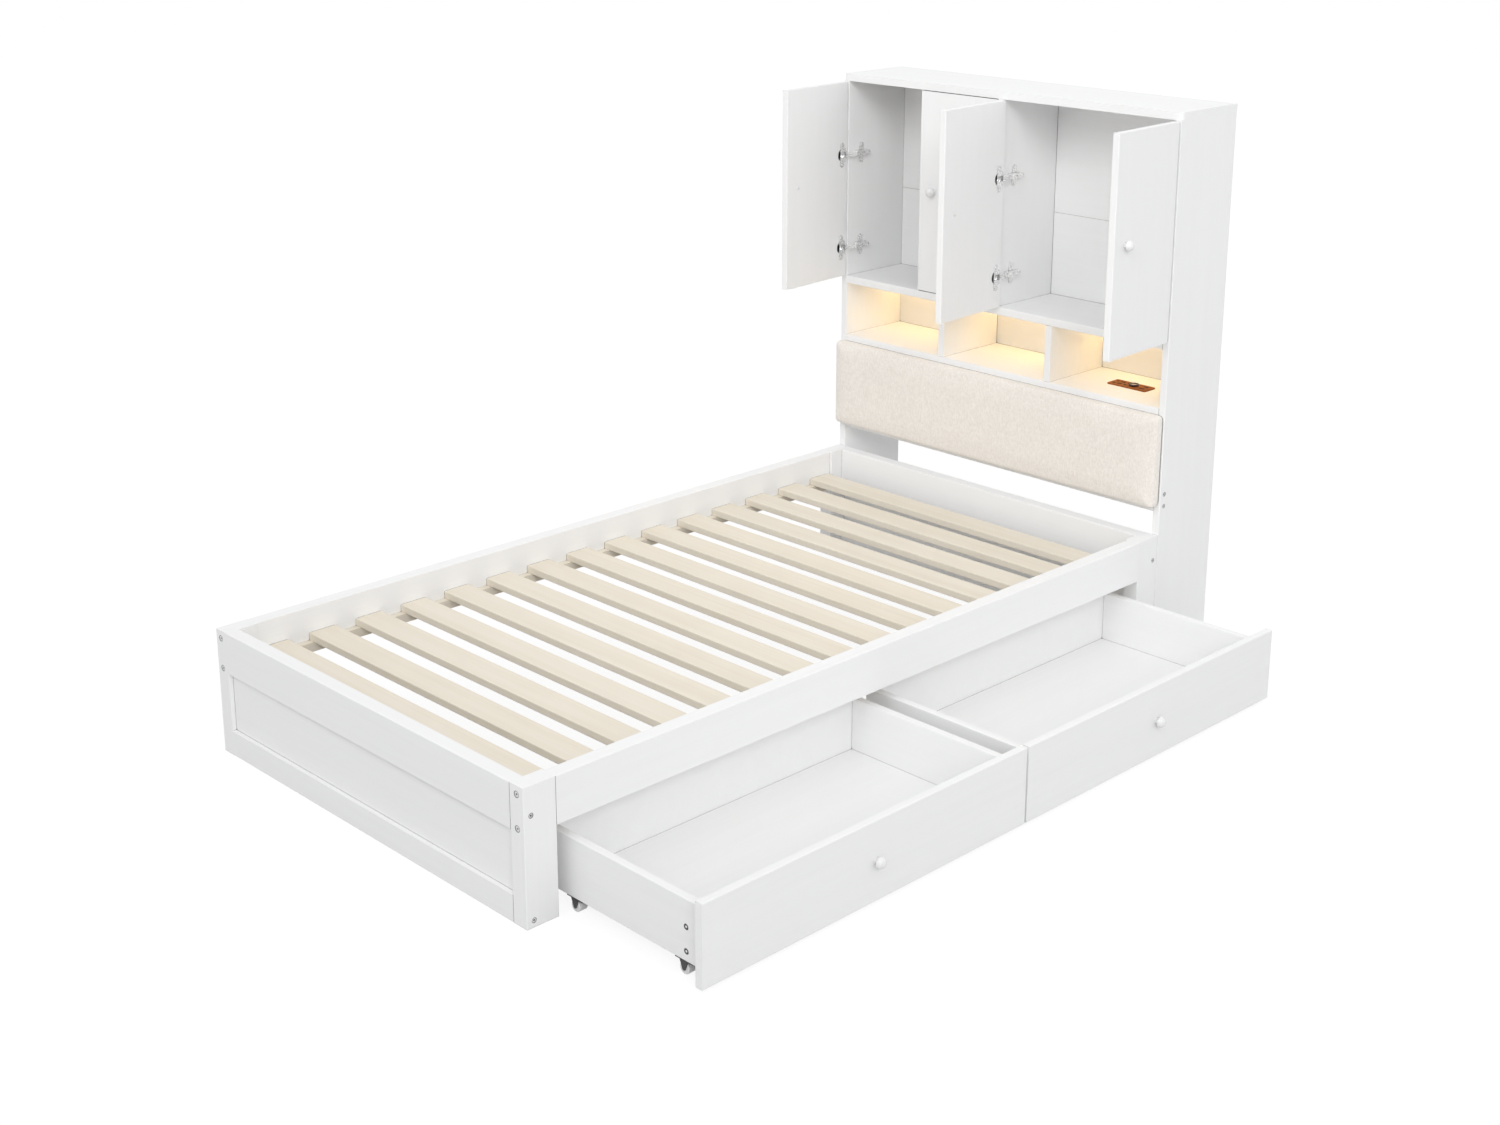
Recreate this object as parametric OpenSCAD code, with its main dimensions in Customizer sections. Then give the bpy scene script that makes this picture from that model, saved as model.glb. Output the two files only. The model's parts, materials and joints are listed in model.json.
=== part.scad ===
// Single storage bed: slatted base, two rolling drawers under one side, and a bookcase
// headboard with a padded panel, three lit cubbies and a cabinet with four doors.
// Millimetres. X runs across the bed, with the drawers towards +X. Y runs from the foot
// to the head, and Z up from the floor. The origin is the middle of the foot rail's underside.

/* [Base] */
// Width over the posts
bed_w = 1080; // [950:5:1650]
// Length from the foot face to the front of the bookcase
base_l = 1980; // [1880:5:2120]
// Height of the posts and the rails
base_h = 290; // [270:1:340]
// Width of a post across the bed
post_w = 41; // [38:1:60]
// Depth of a post along the bed
post_d = 77; // [60:1:100]
// Thickness of a side rail
side_rail_t = 35; // [28:1:38]
// Height of a side rail
side_rail_h = 101; // [100:1:115]
// Thickness of the rails in the end frames
end_rail_t = 34; // [30:1:40]
// Height of the top rail in an end frame
top_rail_h = 97; // [85:1:110]
// Height of the bottom rail in an end frame
bottom_rail_h = 59; // [45:1:80]
// Thickness of the panel in an end frame
end_panel_t = 12; // [8:1:16]
// Distance from the outer face of an end frame to its panel
panel_recess = 10; // [6:1:12]
// Depth of the groove round a panel
groove_d = 6; // [4:1:8]

/* [Slats] */
// Number of slats
slat_count = 15; // [10:1:18]
// Width of a slat
slat_w = 70; // [50:1:90]
// Thickness of a slat
slat_t = 18; // [12:1:22]
// Distance from the top of the rails down to the slats
slat_drop = 60; // [40:1:60]
// Gap between the posts and the first and last slat
slat_end_gap = 9; // [5:1:30]
// Width of a ledger strip
ledger_w = 18; // [15:1:30]
// Height of a ledger strip
ledger_h = 22; // [18:1:23]

/* [Bookcase] */
// Height of the bookcase
case_h = 1332; // [1250:1:1500]
// Depth of the bookcase
case_d = 229; // [180:1:320]
// Thickness of the bookcase boards
board_t = 19; // [18:1:22]
// Thickness of the shelf under the cabinet
shelf_t = 21; // [18:1:25]
// Height inside the cubbies
cubby_h = 146; // [120:1:170]
// Thickness of the back panels
back_t = 5; // [4:1:9]
// Height of the upper back panel
back_upper_h = 314; // [200:1:400]
// Radius of the front corners of the top board
top_corner_r = 12; // [6:1:25]

/* [Headboard pad] */
// Height of the padded panel over the base
pad_over_base = 69; // [40:1:90]
// Height of the padded panel
pad_h = 243; // [180:1:280]
// Depth of the padded panel at its edges
pad_edge_d = 31; // [26:1:45]
// Extra depth in the middle of the padded panel
pad_crown = 3; // [1:0.5:8]
// Radius of the padded panel's front edge
pad_edge_r = 11; // [6:1:14]
// Radius of the padded panel's corners
pad_corner_r = 15; // [12:1:30]
// How far the sides draw in towards the back
pad_draw = 3; // [1:0.5:5]
// Height by which the pad overlaps the cubby floor
pad_cover = 8; // [4:1:14]
// Thickness of the board inside the pad
pad_board_t = 9; // [6:1:15]
// Distance from the pad's outline to its board
pad_board_in = 14; // [10:1:16]
// Thickness of the rail behind the pad
cross_rail_t = 33; // [25:1:40]
// Height of the rail behind the pad
cross_rail_h = 59; // [50:1:80]
// Distance from the pad's lower edge down to that rail's lower edge
cross_rail_drop = 10; // [0:1:20]

/* [Doors] */
// Thickness of a door
door_t = 18; // [17:1:19]
// Gap at a door's hinge side
door_gap = 1.5; // [1.5:0.1:2.5]
// Gap between the two doors of a pair
door_mid_gap = 3; // [2:0.1:5]
// Gap above and below the doors
door_end_gap = 2; // [1:0.5:4]
// Distance from a door's free edge to its knob
door_knob_in = 45; // [30:1:60]
// Height of a door's knob over the door's lower edge
door_knob_up = 268; // [150:1:330]
// Height of the lower hinge over the door's lower edge
hinge_low = 80; // [60:1:110]
// Distance from the door's upper edge down to the upper hinge
hinge_high = 195; // [60:1:220]
// Opening of the left outer door in degrees
door_1_open = 85; // [0:1:95]
// Opening of the left inner door in degrees
door_2_open = 0; // [0:1:80]
// Opening of the right inner door in degrees
door_3_open = 86; // [0:1:86]
// Opening of the right outer door in degrees
door_4_open = 93; // [0:1:95]

/* [Hinges] */
// Radius of a hinge cup
cup_r = 17.4; // [16:0.1:17.6]
// Depth of a hinge cup in the door
cup_d = 12; // [11:0.5:12.5]
// Wall of a hinge cup
cup_wall = 1.2; // [0.8:0.1:1.6]
// Distance from the door's edge to the middle of the cup
cup_in = 22.5; // [21:0.5:24]
// Width of the flange over a cup
flange_w = 23; // [20:1:26]
// Height of the flange over a cup
flange_h = 68; // [60:1:72]
// Thickness of the flange and of the mounting plate's wings
flange_t = 1.2; // [0.8:0.1:1.5]
// Width of a hinge arm
arm_w = 14; // [10:1:16]
// Height of a hinge arm over the panel
arm_h = 11; // [9:1:13]
// Distance from the front of the bookcase to the rear end of an arm
arm_back = 78; // [70:1:90]
// Distance from the front of the bookcase to the middle of a mounting plate
plate_back = 50; // [45:1:55]
// Height of a mounting plate
plate_h = 56; // [50:1:60]
// Width of a mounting plate
plate_w = 15; // [12:1:18]
// Radius of the rear tip of a hinge arm
arm_tip_r = 5; // [4:0.5:6]

/* [Drawers] */
// Distance that the drawers stand out in the photographed pose
drawer_out = 386.5; // [0:0.5:420]
// Thickness of a drawer front
drawer_front_t = 18; // [15:1:20]
// Gap between the floor and a drawer front
drawer_floor_gap = 7; // [4:1:12]
// Gap between a drawer front and the side rail
drawer_top_gap = 11; // [5:1:20]
// Gap between a drawer front and a post
drawer_post_gap = 9; // [5:1:15]
// Gap between the two drawer fronts
drawer_mid_gap = 6; // [4:1:12]
// Length of a drawer's sides
drawer_side_l = 450; // [350:1:480]
// Thickness of a drawer's sides and back
drawer_side_t = 18; // [12:1:20]
// Distance from the top of a drawer front down to its sides
drawer_side_drop = 23; // [10:1:35]
// Distance from the end of a drawer front to its side
drawer_side_in = 20; // [15:1:30]
// Thickness of a drawer's bottom
drawer_bottom_t = 5; // [4:1:9]
// Distance from a drawer front's back to the connectors in the sides
cam_in = 45; // [30:1:60]
// Height of the upper connector below the top of the side
cam_top = 55; // [40:1:60]
// Height of the lower connector over the bottom of the side
cam_low = 21; // [18:1:30]
// Radius of a connector
cam_r = 6; // [5:0.5:8]

/* [Casters] */
// Height from the floor to the underside of a drawer
caster_h = 30; // [28:1:36]
// Radius of a caster wheel
wheel_r = 12.5; // [11:0.5:12.5]
// Width of a caster wheel
wheel_w = 20; // [12:1:24]
// Radius of a caster's axle
axle_r = 2.5; // [2:0.1:3]
// Radial running clearance of a wheel on its axle
axle_clear = 0.06; // [0.03:0.01:0.1]
// Thickness of a caster's plates
caster_plate_t = 2; // [1.5:0.1:2.5]
// Length of a caster's top plate
caster_l = 46; // [40:1:60]
// Distance from a drawer front's outer face to the front casters
caster_front_in = 72; // [55:1:110]
// Distance from the back of a drawer to the rear casters
caster_rear_in = 91; // [50:1:140]

/* [Knobs and fasteners] */
// Radius of a knob
knob_r = 13; // [10:0.5:15]
// Length of a knob
knob_l = 22; // [20:0.5:28]
// Radius of a knob's neck
knob_neck_r = 6; // [5:0.5:8]
// Radius of a bolt's head
bolt_head_r = 6; // [5:0.5:7]
// Radius of a bolt's shank
bolt_r = 3; // [2.5:0.5:4]
// Length of the bolts in the posts
bolt_l = 118; // [110:1:125]
// Distance from the top of the rail to the upper bolt
bolt_top = 18; // [15:1:30]
// Distance between the two bolts in a post
bolt_pitch = 70; // [50:1:75]
// Radius of a screw's head
screw_head_r = 4; // [3.5:0.5:5]
// Radius of a screw's shank
screw_r = 1.8; // [1.5:0.1:2.2]

/* [Charging plate and lights] */
// Width of the charging plate
charger_w = 116; // [90:1:150]
// Depth of the charging plate
charger_d = 47; // [40:1:60]
// Height of the charging plate's rim over the cubby floor
charger_rim = 3; // [2:0.5:5]
// Distance from the bookcase's front to the middle of the charging plate
charger_back = 119; // [80:1:150]
// Width of a light strip
led_w = 10; // [6:1:14]
// Thickness of a light strip
led_t = 3; // [2:0.5:5]
// Distance from the back panel to a light strip
led_back = 12; // [5:1:60]

/* [Fit] */
// Clearance round a panel in its groove
panel_fit = 0.3; // [0.1:0.1:0.5]
// Clearance at each end of a slat
slat_fit = 1; // [0.5:0.1:1.5]
// Clearance round a bolt, a screw or a cup in its hole
hole_fit = 0.2; // [0.1:0.05:0.4]
// Clearance between the pad and what is behind it
pad_fit = 0.3; // [0.2:0.1:0.6]
// Radius along the edges of the boards
edge_r = 2; // [1.8:0.1:2.5]

/* [Hidden] */
$fn = 48;

// How far a cut runs past the surface that it opens
past = 1;

// Base, from the foot's outer face to the bookcase's front
half_w = bed_w / 2;
foot_y = -end_rail_t / 2;
case_y = foot_y + base_l;
post_x = half_w - post_w;
rail_x = half_w - side_rail_t;
span_y = foot_y + post_d;
span_l = base_l - 2 * post_d;
rail_z = base_h - side_rail_h;
ledger_top = base_h - slat_drop - slat_t;
slat_pitch = (span_l - 2 * slat_end_gap - slat_w) / (slat_count - 1);
panel_low = bottom_rail_h - groove_d + panel_fit;
panel_high = base_h - top_rail_h + groove_d - panel_fit;

// Bookcase, from the pad over the base up to the cabinet, which takes the height that is left
case_in = half_w - board_t;
case_top = case_h - board_t;
pad_z = base_h + pad_over_base;
cross_rail_z = pad_z - cross_rail_drop;
cubby_floor_z = pad_z + pad_h - pad_cover;
cubby_z = cubby_floor_z + board_t;
shelf_z = cubby_z + cubby_h;
cabinet_z = shelf_z + shelf_t;
cabinet_h = case_top - cabinet_z;
shelf_d = case_d - back_t;
cubby_w = (2 * case_in - 2 * board_t) / 3;
seam_gap = 0.8;

// Doors: u runs from the panel that a door hangs on towards its free edge
door_h = cabinet_h - 2 * door_end_gap;
door_z = cabinet_z + door_end_gap;
door_w = (case_in - board_t / 2 - 2 * door_gap - door_mid_gap) / 2;
hinge_zs = [door_z + hinge_low, door_z + door_h - hinge_high];
// An open outer door stands this far inside the bookcase's outer face
open_inset = 1;
// Half the gap between the inner doors when both stand open
open_half_gap = 0.75;
outer_pivot_back = 6;
inner_pivot_back = 4;
outer_pivot = [-(board_t - open_inset - outer_pivot_back), outer_pivot_back];
inner_pivot = [-(board_t / 2 - open_half_gap - inner_pivot_back), inner_pivot_back];

openings = [door_1_open, door_2_open, door_3_open, door_4_open];
faces = [-case_in, -board_t / 2, board_t / 2, case_in];
pivots = [outer_pivot, inner_pivot, inner_pivot, outer_pivot];
// The inner left door opens this far
door_2_full = 80;

// Hinges
cup_u = door_gap + cup_in;
flange_u = cup_u - cup_r + cup_wall;
plate_t = 2.5;
plate_screw = (plate_h - plate_w) / 2;
flange_lobe_r = 8;
flange_mid_h = 38;
flange_corner_r = 3;
flange_screw = flange_h / 2 - flange_lobe_r;
arm_dimple_r = 2.6;
arm_dimple_d = 1.5;
hinge_screw_l = 7;

// Hinge links: each swings on a pin at the tip of its arm, and reaches a lug on the open door
link_gap = 0.3;
link_t = 1.8;
link_r = 2.6;
link_fold = 30;
// From the cup's middle at the door's back to the pin
pin_offset = [-5, -5.5];
link_pin = [cup_u, door_t] + pin_offset;
pin_r = 1.3;
tongue_h = 4.4;
tongue_root = 3;
// From the door's edge at its back to the lug
lug_offset = [1, 6.5];
lug = [door_gap, door_t] + lug_offset;
lug_r = 1.7;
ear_t = 1.6;
slot_h = arm_w + 2 * link_gap;
ear_z = tongue_h / 2 + 2 * link_gap + link_t;
lug_foot = [1.5, 11];
lug_foot_h = 20;
arm_front = lug.y + lug_r + link_gap;

// A point of a closed door, after the door has opened by an angle
function opened(p, pivot, angle) = let (d = p - pivot)
    pivot + [d.x * cos(angle) + d.y * sin(angle), d.y * cos(angle) - d.x * sin(angle)];

// From a link's pin to the lug of its open door
function link_reach(i) =
    opened(lug, pivots[i], openings[i] > 0 ? openings[i] : door_2_full) - link_pin;

// Direction of a link: folded into the door's cup, or out at the lug
function link_angle(i) = openings[i] > 0 ? atan2(link_reach(i).y, link_reach(i).x) : link_fold;

// Drawers
front_w = (span_l - 2 * drawer_post_gap - drawer_mid_gap) / 2;
front_h = rail_z - drawer_top_gap - drawer_floor_gap;
front_x = half_w - drawer_front_t + drawer_out;
side_z = caster_h;
side_h = drawer_floor_gap + front_h - drawer_side_drop - side_z;
box_x = front_x - drawer_side_l;
box_fit = 0.1;
cam_zs = [side_z + cam_low, side_z + side_h - cam_top];
cam_bolt_l = 9;
cam_bolt_r = 2.5;

// Casters
caster_xs = [front_x + drawer_front_t - caster_front_in, box_x + caster_rear_in];
fork_gap = 0.6;
fork_t = 1.6;
fork_top_w = 22;
fork_hub_r = 4.5;
caster_w = wheel_w + 2 * (fork_gap + fork_t);
caster_in = 1;
wheel_edge_r = 1.5;
plate_screw_in = 5;
plate_screw_l = 12;

// Knobs and fasteners
knob_base_r = 8;
knob_base_l = 2;
knob_cap_l = 12;
knob_screw_in = 9;
screw_head_t = 1.6;
bolt_head_t = 3;
bolt_recess = 0.6;
bolt_off_middle = 2;
socket_r = 2.3;
socket_d = 2;
post_bolt_zs = [base_h - bolt_top, base_h - bolt_top - bolt_pitch];
post_bolt_x = rail_x + side_rail_t / 2 - bolt_off_middle;
side_bolt_l = 62;
side_bolt_r = 2.5;
side_bolt_head_r = 4.5;
side_bolt_low = 15;
side_bolt_high = 60;
side_bolt_zs = [side_bolt_low, base_h - side_bolt_high];
cross_bolt_l = 50;
cross_bolt_pitch = 31;
cross_bolt_zs = [for (s = [-1, 1]) cross_rail_z + cross_rail_h / 2 + s * cross_bolt_pitch / 2];

// Charging plate
charger_lip = 4;
charger_body_h = 17;
charger_x = case_in - cubby_w / 2;
charger_y = case_y + charger_back;
outlet_r = 13.5;
outlet_x = 9;
outlet_recess = 1;

// Pad profile: steps round the front edge and over the crown
corner_steps = 5;
edge_steps = 6;
crown_steps = 5;
crown_in = pad_h / 2 - pad_corner_r;
crown_corner_r = 1;

// Rectangle from the origin with rounded corners
module rounded(w, h, r) {
    translate([r, 0]) square([w - 2 * r, h]);
    translate([0, r]) square([w, h - 2 * r]);
    for (x = [r, w - r], y = [r, h - r]) translate([x, y]) circle(r = r);
}

// Board from the origin with its four edges along one axis rounded
module bar(size, along, r = edge_r) {
    if (along == "x") rotate([90, 0, 90]) linear_extrude(size.x) rounded(size.y, size.z, r);
    if (along == "y")
        translate([0, size.y, 0]) rotate([90, 0, 0]) linear_extrude(size.y) rounded(size.x, size.z, r);
    if (along == "z") linear_extrude(size.z) rounded(size.x, size.y, r);
}

// Mirrors across the bed when on
module flip_x(on) {
    if (on) mirror([1, 0, 0]) children();
    else children();
}

// Swaps the foot end and the head end of the base when on
module flip_ends(on) {
    if (on) translate([0, foot_y + case_y, 0]) mirror([0, 1, 0]) children();
    else children();
}

// Fastener along +Y from the outside of its head, with a hex socket
module bolt(l, r, head_r) {
    rotate([-90, 0, 0]) difference() {
        union() {
            cylinder(r = head_r, h = bolt_head_t);
            cylinder(r = r, h = l);
        }
        translate([0, 0, -past]) cylinder(r = socket_r, h = socket_d + past, $fn = 6);
    }
}

// Counterbored hole for that fastener, open past the surface
module bolt_hole(l, r, head_r) {
    rotate([-90, 0, 0]) {
        translate([0, 0, -bolt_recess - past])
            cylinder(r = head_r + hole_fit, h = bolt_head_t + bolt_recess + past);
        cylinder(r = r + hole_fit, h = l + hole_fit);
    }
}

// Pan-head screw along +Y, with the underside of its head at the origin
module screw(l) {
    rotate([-90, 0, 0]) {
        translate([0, 0, -screw_head_t]) cylinder(r = screw_head_r, h = screw_head_t);
        cylinder(r = screw_r, h = l);
    }
}

// Hole for that screw, open past the surface
module screw_hole(l) {
    rotate([-90, 0, 0]) translate([0, 0, -past]) cylinder(r = screw_r + hole_fit, h = l + hole_fit + past);
}

// Places of the bolts through the foot posts, for one side
module at_post_bolts() {
    for (z = post_bolt_zs) translate([post_bolt_x, foot_y + bolt_recess, z]) children();
}

// Places of the bolts through the sides of the foot posts, for one side
module at_side_bolts() {
    for (z = side_bolt_zs)
        translate([half_w - bolt_recess, foot_y + end_rail_t / 2, z]) rotate([0, 0, 90]) children();
}

// Places of the bolts through a side of the bookcase, for one side
module at_cross_bolts() {
    for (z = cross_bolt_zs)
        translate([half_w - bolt_recess, case_y + cross_rail_t / 2, z]) rotate([0, 0, 90]) children();
}

// All the holes of the foot's right corner
module corner_holes() {
    at_post_bolts() bolt_hole(bolt_l, bolt_r, bolt_head_r);
    at_side_bolts() bolt_hole(side_bolt_l, side_bolt_r, side_bolt_head_r);
}

// Those holes at both sides of the foot
module foot_holes() {
    for (left = [false, true]) flip_x(left) corner_holes();
}

// Panel of an end frame, or its groove when grown by a gap
module end_panel_block(gap = 0) {
    translate([-post_x - groove_d + panel_fit - gap, foot_y + panel_recess - gap, panel_low - gap])
        cube([
            2 * (post_x + groove_d - panel_fit + gap),
            end_panel_t + 2 * gap,
            panel_high - panel_low + 2 * gap
        ]);
}

module post(left, head) {
    color("white") flip_ends(head) flip_x(left) difference() {
        translate([post_x, foot_y, 0]) bar([post_w, post_d, base_h], "z");
        corner_holes();
        end_panel_block(panel_fit);
    }
}

module end_rail(z, h, head) {
    color("white") flip_ends(head) difference() {
        translate([-post_x, foot_y, z]) bar([2 * post_x, end_rail_t, h], "x");
        foot_holes();
        end_panel_block(panel_fit);
    }
}

module top_rail(head) {
    end_rail(base_h - top_rail_h, top_rail_h, head);
}

module bottom_rail(head) {
    end_rail(0, bottom_rail_h, head);
}

module end_panels() {
    color("white") for (head = [false, true]) flip_ends(head) end_panel_block();
}

module side_rail(left) {
    color("white") flip_x(left) difference() {
        translate([rail_x, span_y, rail_z]) bar([side_rail_t, span_l, side_rail_h], "y");
        for (head = [false, true]) flip_ends(head) corner_holes();
    }
}

module ledgers() {
    color("burlywood") for (left = [false, true]) flip_x(left)
        translate([rail_x - ledger_w, span_y, ledger_top - ledger_h]) cube([ledger_w, span_l, ledger_h]);
}

module slats() {
    color("wheat") for (i = [0:slat_count - 1])
        translate([-rail_x + slat_fit, span_y + slat_end_gap + i * slat_pitch, ledger_top])
            bar([2 * (rail_x - slat_fit), slat_w, slat_t], "x");
}

module frame_bolts() {
    color("silver") for (left = [false, true]) flip_x(left) {
        for (head = [false, true]) flip_ends(head) {
            at_post_bolts() bolt(bolt_l, bolt_r, bolt_head_r);
            at_side_bolts() bolt(side_bolt_l, side_bolt_r, side_bolt_head_r);
        }
        at_cross_bolts() bolt(cross_bolt_l, bolt_r, side_bolt_head_r);
    }
}

// Places of the hinges on a panel face, for a door that opens towards +X
module at_hinges() {
    for (z = hinge_zs) translate([0, case_y, z]) children();
}

// Places of the screws of one mounting plate
module at_plate_screws() {
    for (s = [-1, 1]) translate([plate_t, plate_back, s * plate_screw]) rotate([0, 0, 90]) children();
}

// Holes in that panel for the screws of the mounting plates
module plate_screw_holes() {
    at_hinges() at_plate_screws() screw_hole(plate_t + hinge_screw_l);
}

module bookcase_side(left) {
    color("white") flip_x(left) difference() {
        translate([case_in, case_y, 0]) bar([board_t, case_d, case_top], "z");
        at_cross_bolts() bolt_hole(cross_bolt_l, bolt_r, side_bolt_head_r);
        translate([case_in, 0, 0]) mirror([1, 0, 0]) plate_screw_holes();
    }
}

// Board with two rounded corners at the front
module bookcase_top() {
    color("white") translate([-half_w, case_y, case_top]) linear_extrude(board_t) {
        translate([0, top_corner_r]) square([bed_w, case_d - top_corner_r]);
        translate([top_corner_r, 0]) square([bed_w - 2 * top_corner_r, case_d]);
        for (x = [top_corner_r, bed_w - top_corner_r])
            translate([x, top_corner_r]) circle(r = top_corner_r);
    }
}

module cabinet_shelf() {
    color("white") translate([-case_in, case_y, shelf_z]) bar([2 * case_in, shelf_d, shelf_t], "x");
}

module cabinet_divider() {
    color("white") difference() {
        translate([-board_t / 2, case_y, cabinet_z]) bar([board_t, shelf_d, cabinet_h], "z");
        for (left = [false, true]) flip_x(left) translate([board_t / 2, 0, 0]) plate_screw_holes();
    }
}

module cubby_dividers() {
    color("white") for (left = [false, true]) flip_x(left)
        translate([cubby_w / 2, case_y, cubby_z]) bar([board_t, shelf_d, cubby_h], "z");
}

// Block of the charging plate's body, grown by a gap, from a height up
module charger_block(gap, z, h) {
    size = [charger_w - 2 * charger_lip + 2 * gap, charger_d - 2 * charger_lip + 2 * gap];
    translate([charger_x - size.x / 2, charger_y - size.y / 2, z]) cube([size.x, size.y, h]);
}

module cubby_floor() {
    color("white") difference() {
        translate([-case_in, case_y, cubby_floor_z]) bar([2 * case_in, shelf_d, board_t], "x");
        charger_block(panel_fit, cubby_floor_z - past, board_t + 2 * past);
    }
}

// Upper and lower back panel, with a fine gap between them
module back_panels() {
    lower_h = case_top - back_upper_h - seam_gap - cubby_floor_z;
    color("white") translate([-case_in, case_y + shelf_d, 0]) {
        translate([0, 0, case_top - back_upper_h]) cube([2 * case_in, back_t, back_upper_h]);
        translate([0, 0, cubby_floor_z]) cube([2 * case_in, back_t, lower_h]);
    }
}

module pad_cross_rail() {
    color("white") difference() {
        translate([-case_in, case_y, cross_rail_z]) bar([2 * case_in, cross_rail_t, cross_rail_h], "x");
        for (left = [false, true]) flip_x(left)
            at_cross_bolts() bolt_hole(cross_bolt_l, bolt_r, side_bolt_head_r);
    }
}

// Board inside the pad, or its pocket when grown by a gap
module pad_board_block(gap = 0) {
    inset = pad_board_in - gap;
    translate([-half_w + inset, case_y - pad_board_t - gap, pad_z + inset])
        cube([bed_w - 2 * inset, pad_board_t + gap + (gap > 0 ? past : 0), pad_h - 2 * inset]);
}

module pad_board() {
    color("tan") pad_board_block();
}

// One turn of the pad's outline, drawn in by an inset, at a depth in front of its back
function pad_ring(inset, depth) = [
    for (corner = [0:3], step = [0:corner_steps])
        let (
            r = max(pad_corner_r - inset, crown_corner_r),
            angle = 90 * corner + 90 * step / corner_steps,
            sx = (corner == 0 || corner == 3) ? 1 : -1,
            sz = (corner < 2) ? 1 : -1
        )
        [
            sx * (half_w - inset - r) + r * cos(angle),
            -depth,
            sz * (pad_h / 2 - inset - r) + r * sin(angle)
        ]
];

// Rings from the back: the drawn-in side, the round front edge, then the crown
pad_rings = concat(
    [pad_ring(pad_draw, 0), pad_ring(pad_draw / 3, (pad_edge_d - pad_edge_r) / 2)],
    [for (i = [0:edge_steps])
        let (a = 90 * i / edge_steps)
        pad_ring(pad_edge_r * (1 - cos(a)), pad_edge_d - pad_edge_r * (1 - sin(a)))],
    [for (i = [1:crown_steps])
        let (t = i / crown_steps)
        pad_ring(
            pad_edge_r + t * (crown_in - pad_edge_r),
            pad_edge_d + pad_crown * (1 - (1 - t) * (1 - t))
        )]
);

module pad_form() {
    rings = len(pad_rings);
    n = len(pad_rings[0]);
    back = rings * n;
    front = back + 1;
    points = concat(
        [for (ring = pad_rings) each ring],
        [[0, 0, 0], [0, -pad_edge_d - pad_crown, 0]]
    );
    sides = [for (k = [0:rings - 2], i = [0:n - 1], half = [0, 1])
        let (a = k * n + i, b = k * n + (i + 1) % n)
        half == 0 ? [a, a + n, b] : [b, a + n, b + n]];
    caps = [for (i = [0:n - 1], end = [0, 1])
        let (j = (i + 1) % n, top = (rings - 1) * n)
        end == 0 ? [back, i, j] : [front, top + j, top + i]];
    polyhedron(points, concat(sides, caps));
}

module headboard_pad() {
    color("linen") difference() {
        translate([0, case_y - pad_fit, pad_z + pad_h / 2]) pad_form();
        pad_board_block(pad_fit);
    }
}

module charging_plate() {
    color("dimgray") difference() {
        union() {
            translate([charger_x - charger_w / 2, charger_y - charger_d / 2, cubby_z])
                bar([charger_w, charger_d, charger_rim], "z", charger_lip);
            charger_block(0, cubby_z - charger_body_h, charger_body_h);
        }
        translate([charger_x + outlet_x, charger_y, cubby_z + charger_rim - outlet_recess])
            cylinder(r = outlet_r, h = outlet_recess + past);
    }
}

module light_strips() {
    strip_l = cubby_w - 2 * led_back;
    strip_y = case_y + shelf_d - led_back - led_w;
    color("gold") for (i = [-1:1])
        translate([i * (cubby_w + board_t) - strip_l / 2, strip_y, shelf_z - led_t])
            cube([strip_l, led_w, led_t]);
}

// Flat bar between two points with round ends
module strip(from, to, r) {
    d = to - from;
    for (p = [from, to]) translate(p) circle(r = r);
    translate(from) rotate(atan2(d.y, d.x)) translate([0, -r]) square([norm(d), 2 * r]);
}

// Outline of a hinge arm from its front to its round rear tip
module arm_shape() {
    wide_end = plate_back + plate_w / 2;
    tip = arm_back - arm_tip_r;
    polygon([
        [arm_front, arm_w / 2],
        [wide_end, arm_w / 2],
        [tip, arm_tip_r],
        [tip, -arm_tip_r],
        [wide_end, -arm_w / 2],
        [arm_front, -arm_w / 2]
    ]);
    translate([tip, 0]) circle(r = arm_tip_r);
}

// Mounting plate, arm, tongue and link pin of one hinge, for a door that opens towards +X
module hinge_arm() {
    pin_h = tongue_h + 2 * (link_gap + link_t);
    difference() {
        union() {
            rotate([90, 0, 90]) linear_extrude(plate_t)
                strip([plate_back, -plate_screw], [plate_back, plate_screw], plate_w / 2);
            rotate([90, 0, 90]) linear_extrude(arm_h) arm_shape();
            translate([0, 0, -tongue_h / 2]) linear_extrude(tongue_h)
                strip([arm_h - tongue_root, arm_front + tongue_root], link_pin, link_r);
            translate([link_pin.x, link_pin.y, -pin_h / 2]) cylinder(r = pin_r, h = pin_h);
        }
        at_plate_screws() screw_hole(plate_t);
        for (y = [plate_back, arm_back - arm_tip_r])
            translate([arm_h - arm_dimple_d, y, 0]) rotate([0, 90, 0])
                cylinder(r = arm_dimple_r, h = arm_dimple_d + past);
    }
    at_plate_screws() screw(plate_t + hinge_screw_l);
}

module hinge_arms() {
    color("silver") for (left = [false, true]) flip_x(left) {
        translate([board_t / 2, 0, 0]) at_hinges() hinge_arm();
        translate([case_in, 0, 0]) mirror([1, 0, 0]) at_hinges() hinge_arm();
    }
}

// From the panel that a door hangs on, with X towards the door's free edge
module on_panel(i) {
    translate([faces[i - 1], case_y, 0]) flip_x(i == 2 || i == 4) children();
}

// Turns a closed door about its hinge axis
module place_door(i) {
    pivot = pivots[i - 1];
    on_panel(i) translate([pivot.x, pivot.y, 0]) rotate([0, 0, -openings[i - 1]])
        translate([-pivot.x, -pivot.y, 0]) children();
}

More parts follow.
